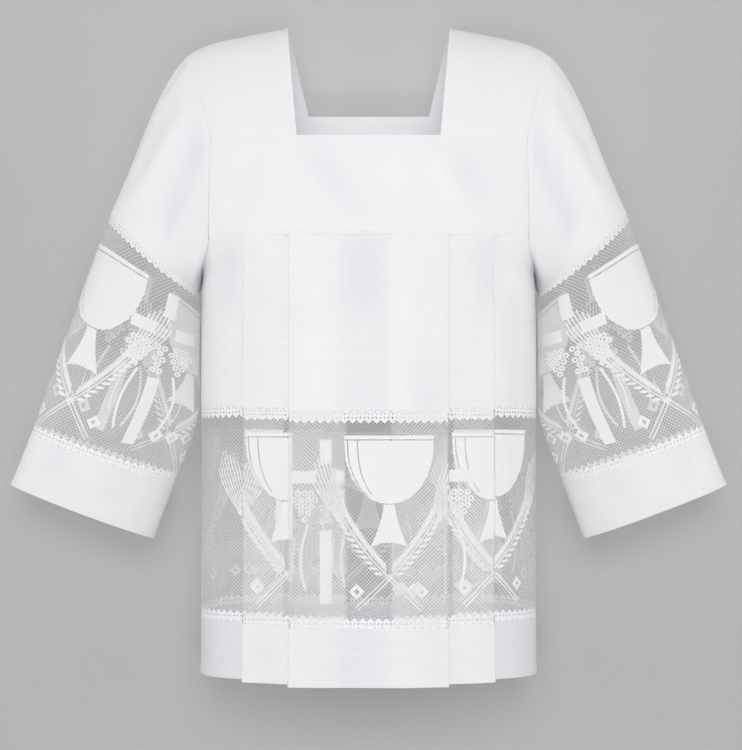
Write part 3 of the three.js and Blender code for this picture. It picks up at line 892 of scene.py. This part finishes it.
def chart(s, h, i, j, rows, cups, crosses, tilt):
    """The hole's share of each mesh. Meshes under a figure are solid, and stop a little inside
    its outline. A tilt lowers the figures' left ends and raises their right ends."""
    kind = np.full(s.shape, OPEN)
    kind[(h > RIM + RIM_BAND["height"]) | (h < POST["foot"][0] - 0.004)] = WIDE
    q = from_nearest(s, cups)
    beside = from_nearest(s, crosses)
    level = h - tilt * (beside + CROSS_AT) + tilt * TILT_DROP
    h = h - tilt * q + tilt * TILT_DROP
    beside = np.abs(beside)
    for low, high in (POST["foot"], POST["head"]):
        kind[(beside < POST["half"] - 0.0014) & (level > low + 0.003) & (level < high - 0.003)] = SOLID
    arm = (beside > BEAM["middle"]) & (beside < BEAM["half"] - 0.002)
    kind[arm & (level > BEAM["low"] + 0.0013) & (level < BEAM["high"] - 0.0013)] = SOLID
    shine = np.min([np.abs(q + k * bowl_half(h)) for k in SHINE], axis=0)
    bowl = (h > BOWL_LOW + 0.001) & (h < RIM - 0.001) & (np.abs(q) < bowl_half(h) - 0.0012)
    kind[bowl & ((shine > 0.0020) | (h < BOWL_LOW + 0.010))] = SOLID
    kind[(h > FOOT_LOW + 0.0045) & (h < BOWL_LOW - 0.002) & (np.abs(q) < foot_half(h) - 0.001)] = SOLID
    kind = border(kind, rows - j, i, TOP_PLAN)
    return border(kind, j, i, LOW_PLAN)


# %% [markdown]
# ### Shapes of the figures
# Each shape is a small grid of places on the flat cut, in metres from the figure's middle line
# and from the lace's lower edge. A ribbon follows a line, a leaf is a ribbon with pointed ends,
# and a ring runs round its centre. So each one can be laid on any sheet, pleated or not.

# %% Shapes on the cut
def ribbon(line, width):
    """A strip along a line of places. The width may change along it."""
    line = np.asarray(line, float)
    way = unit(np.gradient(line, axis=0))
    side = np.stack([way[:, 1], -way[:, 0]], axis=-1) * np.reshape(width, (-1, 1)) / 2
    return np.stack([line - side, line + side])


def leaf(start, angle, length, width):
    steps = np.linspace(0, 1, 6)
    line = np.array(start) + np.outer(steps * length, [math.sin(angle), math.cos(angle)])
    return ribbon(line, width * np.sin(math.pi * steps**0.8) ** 0.6)


def ring(centre, outer, inner, sides):
    turn = np.linspace(0, 2 * math.pi, sides + 1)
    edge = np.stack([np.sin(turn), np.cos(turn)], axis=-1)
    return np.stack([np.array(centre) + inner * edge, np.array(centre) + outer * edge])


def panel(low, high, left, right, across=0.0024, rows=16):
    """A patch between two heights, whose left and right edges are functions of the height."""
    h = np.linspace(low, high, rows)
    count = max(3, math.ceil(float(np.max(right(h) - left(h))) / across))
    share = np.linspace(0, 1, count)
    q = left(h)[:, None] + (right(h) - left(h))[:, None] * share
    return np.stack([q, np.broadcast_to(h[:, None], q.shape)], axis=-1)


# %% Cup, wheat and cross
EAR_TURN, EAR_LENGTH, GRAIN_STEP = (46, 13), 0.180, 0.0088  # the ear leans less towards its tip


def ear_line(lean, start, end, offset=0.0, spread=None):
    """A line along an ear of wheat, at a distance beside its middle."""
    steps = np.linspace(0, EAR_LENGTH, 91)
    angle = np.radians(mix(EAR_TURN[0], EAR_TURN[1], steps / EAR_LENGTH))
    x = np.concatenate([[0], np.cumsum(np.sin(angle[:-1]) * np.diff(steps))])
    z = np.concatenate([[0], np.cumsum(np.cos(angle[:-1]) * np.diff(steps))])
    along = np.linspace(start, end, max(2, math.ceil((end - start) / 0.004)))
    beside = offset if spread is None else offset * spread(along)
    turn = np.interp(along, steps, angle)
    first = math.radians(EAR_TURN[0])
    q = np.where(along < 0, along * math.sin(first), np.interp(along, steps, x))
    h = np.where(along < 0, along * math.cos(first), np.interp(along, steps, z))
    q, h = q + beside * np.cos(turn), h - beside * np.sin(turn)
    return np.stack([lean * q, CROSSING + h], axis=-1)


GRAIN = {"outer": (38, 0.0125, 0.0036), "inner": (-36, 0.0145, 0.0024)}  # degrees, length, width
GRAINS, GRAIN_START, GRAIN_ASIDE = 20, 0.008, 0.0020  # number, first one, distance from the stem
STEM = {"end": 0.104, "width": 0.0017}
STALK = {"start": -0.056, "end": 0.004, "aside": 0.0022, "width": 0.0015}
BEARD = {"rows": 4, "start": 0.100, "end": 0.174, "apart": 0.0044, "width": 0.0017, "top": 0.231}


def spread(along):
    """Beards lie close at their roots and open out like a fan."""
    return 0.34 + 0.66 * ease((along - 0.080) / 0.070)


def wheat_shapes():
    """Two crossed ears: stem, stalk, fat grains outside, slim ones inside, and long beards."""
    shapes = []
    for lean in (-1, 1):
        shapes.append(ribbon(ear_line(lean, 0.0, STEM["end"]), STEM["width"]))
        for side in (-1, 1):
            line = ear_line(lean, STALK["start"], STALK["end"], side * STALK["aside"])
            shapes.append(ribbon(line, STALK["width"]))
        for k in range(GRAINS):
            along = GRAIN_START + GRAIN_STEP / 2 * k
            turn = math.radians(mix(EAR_TURN[0], EAR_TURN[1], along / EAR_LENGTH))
            for place, side in (("inner", -1), ("outer", 1)):
                swing, length, width = GRAIN[place]
                root = ear_line(lean, along, along + 0.001, side * GRAIN_ASIDE)[0]
                if place == "inner" or k % 2 == 0:
                    shapes.append(leaf(root, lean * (turn + math.radians(swing)), length, width))
        for k in range(BEARD["rows"]):
            root, tip = BEARD["start"] - 0.008 * k, BEARD["end"] - 0.006 * k
            for side in (-1, 1):
                line = ear_line(lean, root, tip, side * BEARD["apart"] * (k + 0.5), spread)
                shapes.append(ribbon(line[line[:, 1] < BEARD["top"]], BEARD["width"]))
    return shapes


def box(low, high, left, right, rows=16):
    """A panel with upright sides."""
    return panel(low, high, lambda h: h * 0 + left, lambda h: h * 0 + right, rows=rows)


def cup_shapes():
    """The bowl in three strips, so that two lines of shine stay open, the rim and the foot."""
    edges = [lambda h, k=k: -bowl_half(h) * k for k in (1, *SHINE)] + [bowl_half]
    gap = 0.0008
    low = BOWL_LOW + 0.010
    shapes = [panel(BOWL_LOW, low, lambda h: -bowl_half(h), bowl_half, rows=8)]
    for left, right in zip(edges[:-1], edges[1:]):
        shapes.append(panel(low, RIM, lambda h: left(h) + gap, lambda h: right(h) - gap))
    band = RIM + RIM_BAND["gap"], RIM + RIM_BAND["height"]
    shapes.append(box(*band, -BOWL_HALF, BOWL_HALF, rows=3))
    foot = panel(FOOT_LOW, BOWL_LOW - 0.0012, lambda h: -foot_half(h), foot_half, rows=14)
    lift = 0.0055 * (1 - (foot[..., 0] / foot_half(FOOT_LOW)) ** 2)
    foot[..., 1] += lift * np.clip((BOWL_LOW - foot[..., 1]) / (BOWL_LOW - FOOT_LOW), 0, 1) ** 2
    return shapes + [foot]


BERRY = {"top": 0.166, "aside": 0.0265, "apart": 0.0086, "down": 0.0080, "outer": 0.0042, "inner": 0.0015}
SPRAY = {"low": 0.046, "high": 0.128, "aside": 0.0225, "swing": 0.009, "width": 0.0034}
BUNCHES = {-1: (3, 4, 3, 2, 1), 0: (2, 1, 2, 1, 2), 1: (3, 4, 3, 2, 1)}  # berries in each row


def cross_shapes():
    """A plain cross behind the wheat, bunches of berries under its arms, and a spray each side."""
    half, middle, arm = POST["half"], BEAM["middle"], BEAM["half"]
    shapes = [box(*ends, -half, half) for ends in (POST["foot"], POST["head"])]
    for left, right in ((-arm, -middle), (middle, arm)):
        shapes.append(box(BEAM["low"], BEAM["high"], left, right, rows=5))
    for side, bunch in BUNCHES.items():
        for row, count in enumerate(bunch):
            h = BERRY["top"] - BERRY["down"] * row - 0.002 * (side == 0)
            for place in range(count):
                x = side * BERRY["aside"] + BERRY["apart"] * (place - (count - 1) / 2)
                shapes.append(ring((x, h), BERRY["outer"], BERRY["inner"], 8))
        h = np.linspace(SPRAY["low"], SPRAY["high"], 30)
        if side:
            x = SPRAY["aside"] + SPRAY["swing"] * np.sin(h * 36 - 1.4)
            line = np.stack([side * x, h], axis=-1)
            shapes.append(ribbon(line, SPRAY["width"]))
            shapes.append(ribbon(line[6:22] + [side * 0.010, 0.004], 0.0014))
    return shapes


LOZENGES = (0.040, 0.118, 0.1385, 0.159, 0.1795, -0.040)  # places beside a cup
LOZENGE = {"height": 0.047, "outer": 0.0092, "inner": 0.0036}


def lozenge_shapes():
    """A row of open lozenges along the foot of the figures."""
    return [ring((x, LOZENGE["height"]), LOZENGE["outer"], LOZENGE["inner"], 4) for x in LOZENGES]


def tilted(shape, away, tilt):
    """Leans a shape that stands this far from its cup."""
    rise = tilt * (shape[..., 0] + away - TILT_DROP)
    return np.stack([shape[..., 0], shape[..., 1] + rise], axis=-1)


def figure_shapes(cups, crosses, tilt):
    """All figures of one width, as grids of places on it."""
    group = [tilted(shape, 0, tilt) for shape in cup_shapes() + wheat_shapes() + lozenge_shapes()]
    beside = [tilted(shape, CROSS_AT, tilt) for shape in cross_shapes()]
    shapes = [shape + np.array([place, 0]) for place in cups for shape in group]
    return shapes + [shape + np.array([place, 0]) for place in crosses for shape in beside]


print(len(figure_shapes([0], [], 0)), "shapes to a cup,", len(figure_shapes([], [0], 0)), "to a cross")


# %% [markdown]
# ### Knitting it together
# A filled mesh becomes one face. An open one becomes a ring of four faces round its hole, which
# is what an inset followed by deleting the middle face gives. Half meshes close the edges. The
# figures are added to the same mesh, lifted a little along the sheet's own normal.
#
# The front skirt's lace is pieced from several widths, and each join lies under the fold of a
# pleat. Every width starts its figures anew, and a figure that meets a join is cut there.

# %% Lace sheets
FIGURE_LIFT = 0.0004
SMALLEST_PATCH = 1e-8  # square metres, twice the area


def stretch(h, widen):
    """A sleeve is cut wider towards its top, and its figures spread with it."""
    return 1 + widen * (h / LACE_HEIGHT - 0.1)


def net_mesh(width, height, widths, turn, widen, tilt, share):
    """Places on the cut and faces of the net."""
    columns, rows = (max(2, 2 * round(size / MESH_STEP / 2)) for size in (width, height))
    gi, gj = np.meshgrid(np.arange(columns + 1), np.arange(rows + 1))
    knot = (gi + gj) % 2 == 0
    index = np.full(gi.shape, -1)
    index[knot] = np.arange(knot.sum())
    places = [np.stack([gi[knot], gj[knot]], axis=-1).astype(float)]
    i, j = gi[~knot], gj[~knot]
    inside = (i > 0) & (i < columns) & (j > 0) & (j < rows)
    edge_i, edge_j = i[~inside], j[~inside]
    i, j = i[inside], j[inside]
    h = j / rows * height
    s = turn * (i / columns - 0.5) * width / stretch(h, widen)
    hole = np.full(s.shape, OPEN)
    for start, end, cups, crosses in widths:
        here = (s >= start) & (s <= end) if len(widths) > 1 else np.full(s.shape, True)
        hole[here] = chart(s[here], h[here], i[here], j[here], rows, cups, crosses, tilt)
    hole[hole == OPEN] = share
    corners = np.stack([index[j, i - 1], index[j - 1, i], index[j, i + 1], index[j + 1, i]], axis=-1)
    faces = [corners[hole == SOLID]]
    centre, size, outer = np.stack([i, j], axis=-1)[hole > 0], hole[hole > 0], corners[hole > 0]
    steps = np.array([(-1, 0), (0, -1), (1, 0), (0, 1)])
    places.append((centre[:, None] + steps * size[:, None, None]).reshape(-1, 2))
    inner = knot.sum() + np.arange(4 * len(centre)).reshape(-1, 4)
    for k in range(4):
        n = (k + 1) % 4
        faces.append(np.stack([outer[:, k], outer[:, n], inner[:, n], inner[:, k]], axis=-1))
    faces = np.concatenate(faces).tolist()
    for a, b in zip(edge_i, edge_j):
        near = [(a - 1, b), (a, b - 1), (a + 1, b), (a, b + 1)]
        faces.append([int(index[y, x]) for x, y in near if 0 <= x <= columns and 0 <= y <= rows])
    places = np.concatenate(places)
    return (places / [columns, rows] - [0.5, 0]) * [width, height], [f for f in faces if len(f) > 2]


def lace_sheet(node, width, place, widths, turn=1, widen=0.0, tilt=0.0, share=OPEN):
    """A lace band. 'place' turns places on the cut into points, and 'turn' mirrors the figures.
    Each of its widths has a start, an end, and the places of its cups and crosses."""
    net, faces = net_mesh(width, LACE_HEIGHT, widths, turn, widen, tilt, share)
    cut, points = [net], [place(net[:, 0], net[:, 1])]
    total = len(net)
    shapes = [
        (shape, low, high) for low, high, *places in widths for shape in figure_shapes(*places, tilt)
    ]
    for shape, low, high in shapes:
        v = shape[..., 1]
        u = turn * np.clip(shape[..., 0] * stretch(v, widen), low, high)
        area = (u[:-1, :-1] - u[1:, 1:]) * (v[:-1, 1:] - v[1:, :-1])
        area = area - (u[:-1, 1:] - u[1:, :-1]) * (v[:-1, :-1] - v[1:, 1:])
        keep = np.abs(area) > SMALLEST_PATCH
        if not keep.any():
            continue
        cut.append(np.stack([u, v], axis=-1).reshape(-1, 2))
        points.append((place(u, v) + FIGURE_LIFT * outward(place, u, v, 0.0004)).reshape(-1, 3))
        number = total + np.arange(u.size).reshape(u.shape)
        a, b, c, d = number[:-1, :-1], number[:-1, 1:], number[1:, 1:], number[1:, :-1]
        order = (a, b, c, d) if area[keep].sum() > 0 else (a, d, c, b)
        faces += np.stack(order, axis=-1)[keep].tolist()
        total += u.size
    cut = np.concatenate(cut)
    piece = piece_of("net_" + node, np.concatenate(points).tolist(), faces)
    add_cut_map(piece.data, cut[:, 0], cut[:, 1])
    bpy.ops.object.select_all(action="DESELECT")
    piece.select_set(True)
    bpy.context.view_layer.objects.active = piece
    bpy.ops.object.mode_set(mode="EDIT")
    bpy.ops.mesh.select_all(action="SELECT")
    bpy.ops.mesh.remove_doubles(threshold=0.00001)
    bpy.ops.mesh.delete_loose()
    bpy.ops.object.mode_set(mode="OBJECT")
    bpy.ops.object.shade_smooth()
    lace[node] = declare(piece, node)


# %% The lace bands
JOINS = [0.238, 0.348]  # from the centre line, under the folds of the two pleats
SKIRT_WIDTHS = {
    # start, end, places of the cups, places of the crosses
    "front": [
        (-HALF_CUT, -JOINS[1], [-0.356], []),
        (-JOINS[1], -JOINS[0], [-0.2435], []),
        (-JOINS[0], JOINS[0], [0.0255], [-0.1465]),
        (JOINS[0], JOINS[1], [0.303], [0.232]),
        (JOINS[1], HALF_CUT, [0.411], []),
    ],
    "back": [(-HALF_CUT, HALF_CUT, REPEAT * np.arange(-2, 3), REPEAT * np.arange(-2, 2) + CROSS_AT)],
}

SLEEVE_WIDEN, SLEEVE_TILT, SLEEVE_HOLE = 0.20, 0.125, 0.90
SLEEVE_CUPS = 0.052 + SLEEVE_CUT / 2 * np.arange(-2, 2)
SLEEVE_CROSSES = SLEEVE_CUPS + CROSS_AT
for face in ("front", "back"):
    lace_sheet(
        "lace_" + face,
        2 * HALF_CUT,
        lambda u, v, face=face: skirt_point(face, u, LACE_BOTTOM + v),
        widths=SKIRT_WIDTHS[face],
    )
for side, sign in SIDES.items():
    lace_sheet(
        "sleeve_lace_" + side,
        SLEEVE_CUT,
        tube_place(sign, HEM_RING, LACE_HEIGHT / HEM_RING),
        widths=[(-SLEEVE_CUT / 2, SLEEVE_CUT / 2, SLEEVE_CUPS, SLEEVE_CROSSES)],
        turn=-sign,
        widen=SLEEVE_WIDEN,
        tilt=SLEEVE_TILT,
        share=SLEEVE_HOLE,
    )

# %% [markdown]
# ## Shader tools
# Maths in a material is easier to read as sums. This small class wraps a socket, so that adding
# two of them adds a Math node. Every other node comes from one method of the finish.

# %% Shader helpers
class Value:
    """A number in a material that can be used in sums."""

    def __init__(self, finish, socket):
        self.finish, self.socket = finish, socket

    def _math(self, operation, a, b=0.0):
        return self.finish.node("ShaderNodeMath", {"operation": operation}, {0: a, 1: b})

    def __add__(self, other):
        return self._math("ADD", self, other)

    def __mul__(self, other):
        return self._math("MULTIPLY", self, other)

    __radd__ = __add__
    __rmul__ = __mul__

    def wave(self):
        return self._math("SINE", self)

    def size(self):
        return self._math("ABSOLUTE", self)


class Finish:
    """A material with one Principled shader."""

    def __init__(self, name, **settings):
        self.material = bpy.data.materials.new(name)
        self.material.use_nodes = True
        self.tree = self.material.node_tree
        self.shader = self.tree.nodes["Principled BSDF"]
        for socket, value in settings.items():
            self.shader.inputs[socket.replace("_", " ")].default_value = value

    def node(self, kind, settings, values, output=0):
        node = self.tree.nodes.new(kind)
        for name, value in settings.items():
            setattr(node, name, value)
        for socket, value in values.items():
            if isinstance(value, Value):
                self.tree.links.new(value.socket, node.inputs[socket])
            else:
                node.inputs[socket].default_value = value
        return Value(self, node.outputs[output])

    def mix_in(self, other, share):
        """Lays another shader over the main one, by a share that may vary."""
        main = Value(self, self.shader.outputs[0])
        mixed = self.node("ShaderNodeMixShader", {}, {0: share, 1: main, 2: other})
        self.tree.links.new(mixed.socket, self.tree.nodes["Material Output"].inputs[0])

    def drive(self, socket, value):
        self.tree.links.new(value.socket, self.shader.inputs[socket])

    def cut(self):
        """Across and along the flat cut, in metres."""
        uv = self.node("ShaderNodeUVMap", {"uv_map": "cut"}, {})
        return [self.node("ShaderNodeSeparateXYZ", {}, {0: uv}, output=k) for k in range(2)]

    def painted_shade(self):
        """The painted shade stored on the piece, from its creases and the hem's sides."""
        return self.node("ShaderNodeAttribute", {"attribute_name": "painted_shade"}, {}, output=2)

    def noise(self, scale, detail, vector=None):
        values = {"Scale": scale, "Detail": detail}
        if vector is None:
            vector = self.node("ShaderNodeTexCoord", {}, {}, output=3)
        values["Vector"] = vector
        return self.node("ShaderNodeTexNoise", {}, values)


# %% [markdown]
# ## Plain cloth and net
# The plain cloth is a white cotton and polyester weave with fine ribs across it, 2.6 mm apart.
# They and the threads between them are bump, because they are far thinner than a millimetre.
# The net is the same white yarn. Broad, faint clouds keep the white from looking painted. Cloth
# that lies in a crease gets painted shade, by the depth that was stored on the piece, and so do
# the ribs' grooves, the skirt's middle and the hem's sides, where the cloth hangs single.

# %% Cloth finish
RIB_PITCH, THREAD_PITCH = 0.0026, 0.00065
# SHADE is the darker tone that random clouds and painted shade both mix towards.
WHITE, SHADE = (0.885, 0.883, 0.900, 1), (0.745, 0.738, 0.785, 1)
YARN = (0.905, 0.903, 0.920, 1)
RIB_DEPTH, THREAD_DEPTH, SLUB_DEPTH = {"ribbed": 0.00012, "smooth": 0.00004}, 0.00003, 0.00008
# Clouds are a random tone; the crease and single-cloth amounts are painted shade.
CLOUDS, CREASE_SHADE, SINGLE_LAYER_SHADE = 0.38, 0.42, 0.17  # how much each of these darkens the white
SINGLE_SHADE_AT = {"shift": 0.004, "whole": 0.020, "gone": 0.040}  # metres from the skirt's middle

def cloth_finish(name, rib_depth, rib_shade, rough=0.85, tones=(WHITE, SHADE), single_layer_shade=False, through=0.0):
    """A woven finish with painted shade in creases and rib grooves. It can also paint shade
    into the middle, where a pleated skirt is a single cloth.
    """
    finish = Finish(name, Roughness=rough, Sheen_Weight=0.15, Sheen_Roughness=0.5)
    finish.shader.inputs["Specular IOR Level"].default_value = 0.25
    across, along = finish.cut()
    rib = (along * (2 * math.pi / RIB_PITCH)).wave()
    warp = (across * (2 * math.pi / THREAD_PITCH)).wave()
    weft = (along * (2 * math.pi / THREAD_PITCH)).wave()
    slub = finish.noise(900.0, 3.0)
    height = rib * rib_depth + warp * weft * THREAD_DEPTH + slub * SLUB_DEPTH
    bump = finish.node("ShaderNodeBump", {}, {"Strength": 0.8, "Distance": 1.0, "Height": height})
    finish.drive("Normal", bump)
    # Painted shade: stored crease depth and the ribs' grooves darken the white, and clouds vary it at
    # random.
    shade = finish.noise(9.0, 2.0) * CLOUDS + finish.painted_shade() * CREASE_SHADE + rib * rib_shade
    # Painted shade in the skirt's middle, where the pleated cloth hangs single.
    if single_layer_shade:
        place = finish.node("ShaderNodeTexCoord", {}, {}, output=3)
        away = finish.node("ShaderNodeSeparateXYZ", {}, {0: place}) + SINGLE_SHADE_AT["shift"]
        single = finish.node(
            "ShaderNodeMapRange",
            {"interpolation_type": "SMOOTHSTEP"},
            {0: away.size(), 1: SINGLE_SHADE_AT["whole"], 2: SINGLE_SHADE_AT["gone"], 3: 1.0, 4: 0.0},
        )
        shade = shade + single * SINGLE_LAYER_SHADE
    tone = finish.node(
        "ShaderNodeMix", {"data_type": "RGBA"}, {0: shade, 6: tones[0], 7: tones[1]}, output=2
    )
    finish.drive("Base Color", tone)
    if through:
        finish.mix_in(finish.node("ShaderNodeBsdfTranslucent", {}, {0: YARN}), through)
    return finish.material


ribbed = cloth_finish("ribbed_white_cloth", RIB_DEPTH["ribbed"], 0.07)
pleated = cloth_finish("pleated_white_cloth", RIB_DEPTH["ribbed"], 0.07, single_layer_shade=True)
smooth = cloth_finish("smooth_white_cloth", RIB_DEPTH["smooth"], 0.03)
net = cloth_finish("white_lace_yarn", 0.0, 0.0, rough=0.9, tones=(YARN, WHITE), through=0.06)
MADE_OF = {"skirt": pleated, "hem": pleated, "cuff": ribbed}
for name, piece in plain.items():
    piece.data.materials.clear()
    piece.data.materials.append(MADE_OF.get(name.split("_")[0], smooth))
for piece in stitches:
    piece.data.materials.append(smooth)
for piece in lace.values():
    piece.data.materials.append(net)
print(len(plain), "plain pieces,", len(stitches), "with stitches and", len(lace), "of lace are coloured")

# %% [markdown]
# ## What the cloth was cut to
# Each sheet's flat cut is worked out with its own area, and printed. The skirts are cut much wider
# than they hang, because the pleats take the cloth in. The lace's own area leaves out its holes.

def own_area(piece, layers=1):
    return sum(face.area for face in piece.data.polygons) / layers


CUT_WIDTH = {
    "yoke": 2 * ARMHOLE["seam"],
    "shoulder": SHOULDER_WIDEST,
    "sleeve": SLEEVE_CUT,
    "cuff": SLEEVE_CUT,
}
CUT_LENGTH = {
    "shoulder": SHOULDER_LENGTH,
    "skirt": YOKE_SEAM - LACE_TOP,
    "hem": LACE_BOTTOM - HEM,
    "sleeve": SLEEVE_LENGTH,
    "cuff": CUFF_LENGTH,
}


def cut_size(node):
    """Width and length of the flat cut of a node."""
    kind = node.split("_")[0]
    width = CUT_WIDTH.get(kind, 2 * HALF_CUT)
    if "lace" in node:
        return width, LACE_HEIGHT
    if kind == "yoke":
        return width, NECK_EDGE[node.split("_")[1]] - YOKE_SEAM
    return width, CUT_LENGTH[kind]


LEAST_AREA = 0.3  # of its flat cut, the least that a sheet is given as its own area
for node, piece in {**plain, **lace}.items():
    width, length = cut_size(node)
    layers = 1 if node in lace else 2
    area = min(own_area(piece, layers), width * length)
    print(node, "flat", round(width, 3), "x", round(length, 3), "area", round(area, 4))
    area = max(area, LEAST_AREA * width * length)

# %% [markdown]
# ## Studio
# A pale floor below, a grey wall close behind that takes the soft shadow, and broad light from
# the front and the sides. A small lamp inside the chest brightens the inside of the neck, as the
# thin cloth would by letting light through. The wall is clear from behind, so that the back can
# be looked at too.

# %% Floor, wall, lights and camera
CAMERA_AWAY, EYE = 2.4, -0.482
PIXEL = 0.0013  # metres to a pixel at the middle plane
IMAGE_WIDTH, RAISED = 742, 25  # pixels across, and how far the middle is raised
WALL_BEHIND, WALL_SIZE, FLOOR = 0.147, 2.2, -1.30

bpy.ops.object.select_all(action="DESELECT")
bpy.ops.mesh.primitive_plane_add(size=9, location=(0, 0, FLOOR))
floor = bpy.context.object
floor.name = "floor"
middle = (0, WALL_BEHIND, FLOOR + WALL_SIZE / 2)
bpy.ops.mesh.primitive_plane_add(size=WALL_SIZE, location=middle, rotation=(math.pi / 2, 0, 0))
wall = bpy.context.object
wall.name = "wall"
wall.visible_shadow = False

paper = Finish("pale_floor", Roughness=0.9)
paper.shader.inputs["Base Color"].default_value = (0.50, 0.50, 0.50, 1)
floor.data.materials.append(paper.material)
grey = Finish("grey_wall", Roughness=1.0)
grey.shader.inputs["Base Color"].default_value = (0.505, 0.505, 0.505, 1)
grey.shader.inputs["Specular IOR Level"].default_value = 0
behind = grey.node("ShaderNodeNewGeometry", {}, {}, output=6)
grey.mix_in(grey.node("ShaderNodeBsdfTransparent", {}, {}), behind)
wall.data.materials.append(grey.material)


def area_light(name, place, aim, size, power):
    bpy.ops.object.light_add(type="AREA", location=place)
    light = bpy.context.object
    light.name = name
    light.data.shape, light.data.size, light.data.size_y = "RECTANGLE", size[0], size[1]
    light.data.energy = power
    light.visible_camera = False
    way = np.array(aim) - np.array(place)
    flat = math.hypot(way[0], way[1])
    light.rotation_euler = (math.pi / 2 + math.atan2(way[2], flat), 0, math.atan2(-way[0], way[1]))
    return light


area_light("front_soft", (0, -3.3, 0.20), (0, 0, -0.42), (1.3, 1.0), 33)
area_light("low_soft", (0, -3.0, -0.95), (0, 0, -0.45), (1.3, 0.6), 13)
area_light("neck_soft", (0, -0.03, -0.20), (0, 0.12, -0.09), (0.15, 0.05), 0.085)
area_light("left_soft", (-3.0, -1.0, 0.2), (0, 0, -0.40), (1.6, 2.2), 17)
area_light("right_soft", (3.0, -1.0, 0.2), (0, 0, -0.40), (1.6, 2.2), 17)
area_light("back_soft", (0, 3.2, 0.4), (0, 0, -0.40), (2.4, 2.0), 62)

world = bpy.data.worlds.new("studio")
bpy.context.scene.world = world
world.use_nodes = True
world.node_tree.nodes["Background"].inputs[0].default_value = (1, 1, 1, 1)
world.node_tree.nodes["Background"].inputs[1].default_value = 0.52

camera_data = bpy.data.cameras.new("camera")
camera_data.sensor_fit, camera_data.sensor_width = "HORIZONTAL", 36
camera_data.lens = 36 * CAMERA_AWAY / (IMAGE_WIDTH * PIXEL)
camera_data.shift_y = RAISED / IMAGE_WIDTH
camera = bpy.data.objects.new("camera", camera_data)
bpy.context.scene.collection.objects.link(camera)
camera.location = (0.003, -CAMERA_AWAY, EYE)
camera.rotation_euler = (math.pi / 2, 0, 0)
bpy.context.scene.camera = camera
bpy.context.scene.view_settings.view_transform = "Standard"
print("camera at", tuple(camera.location), "with a lens of", round(camera_data.lens, 1), "mm")
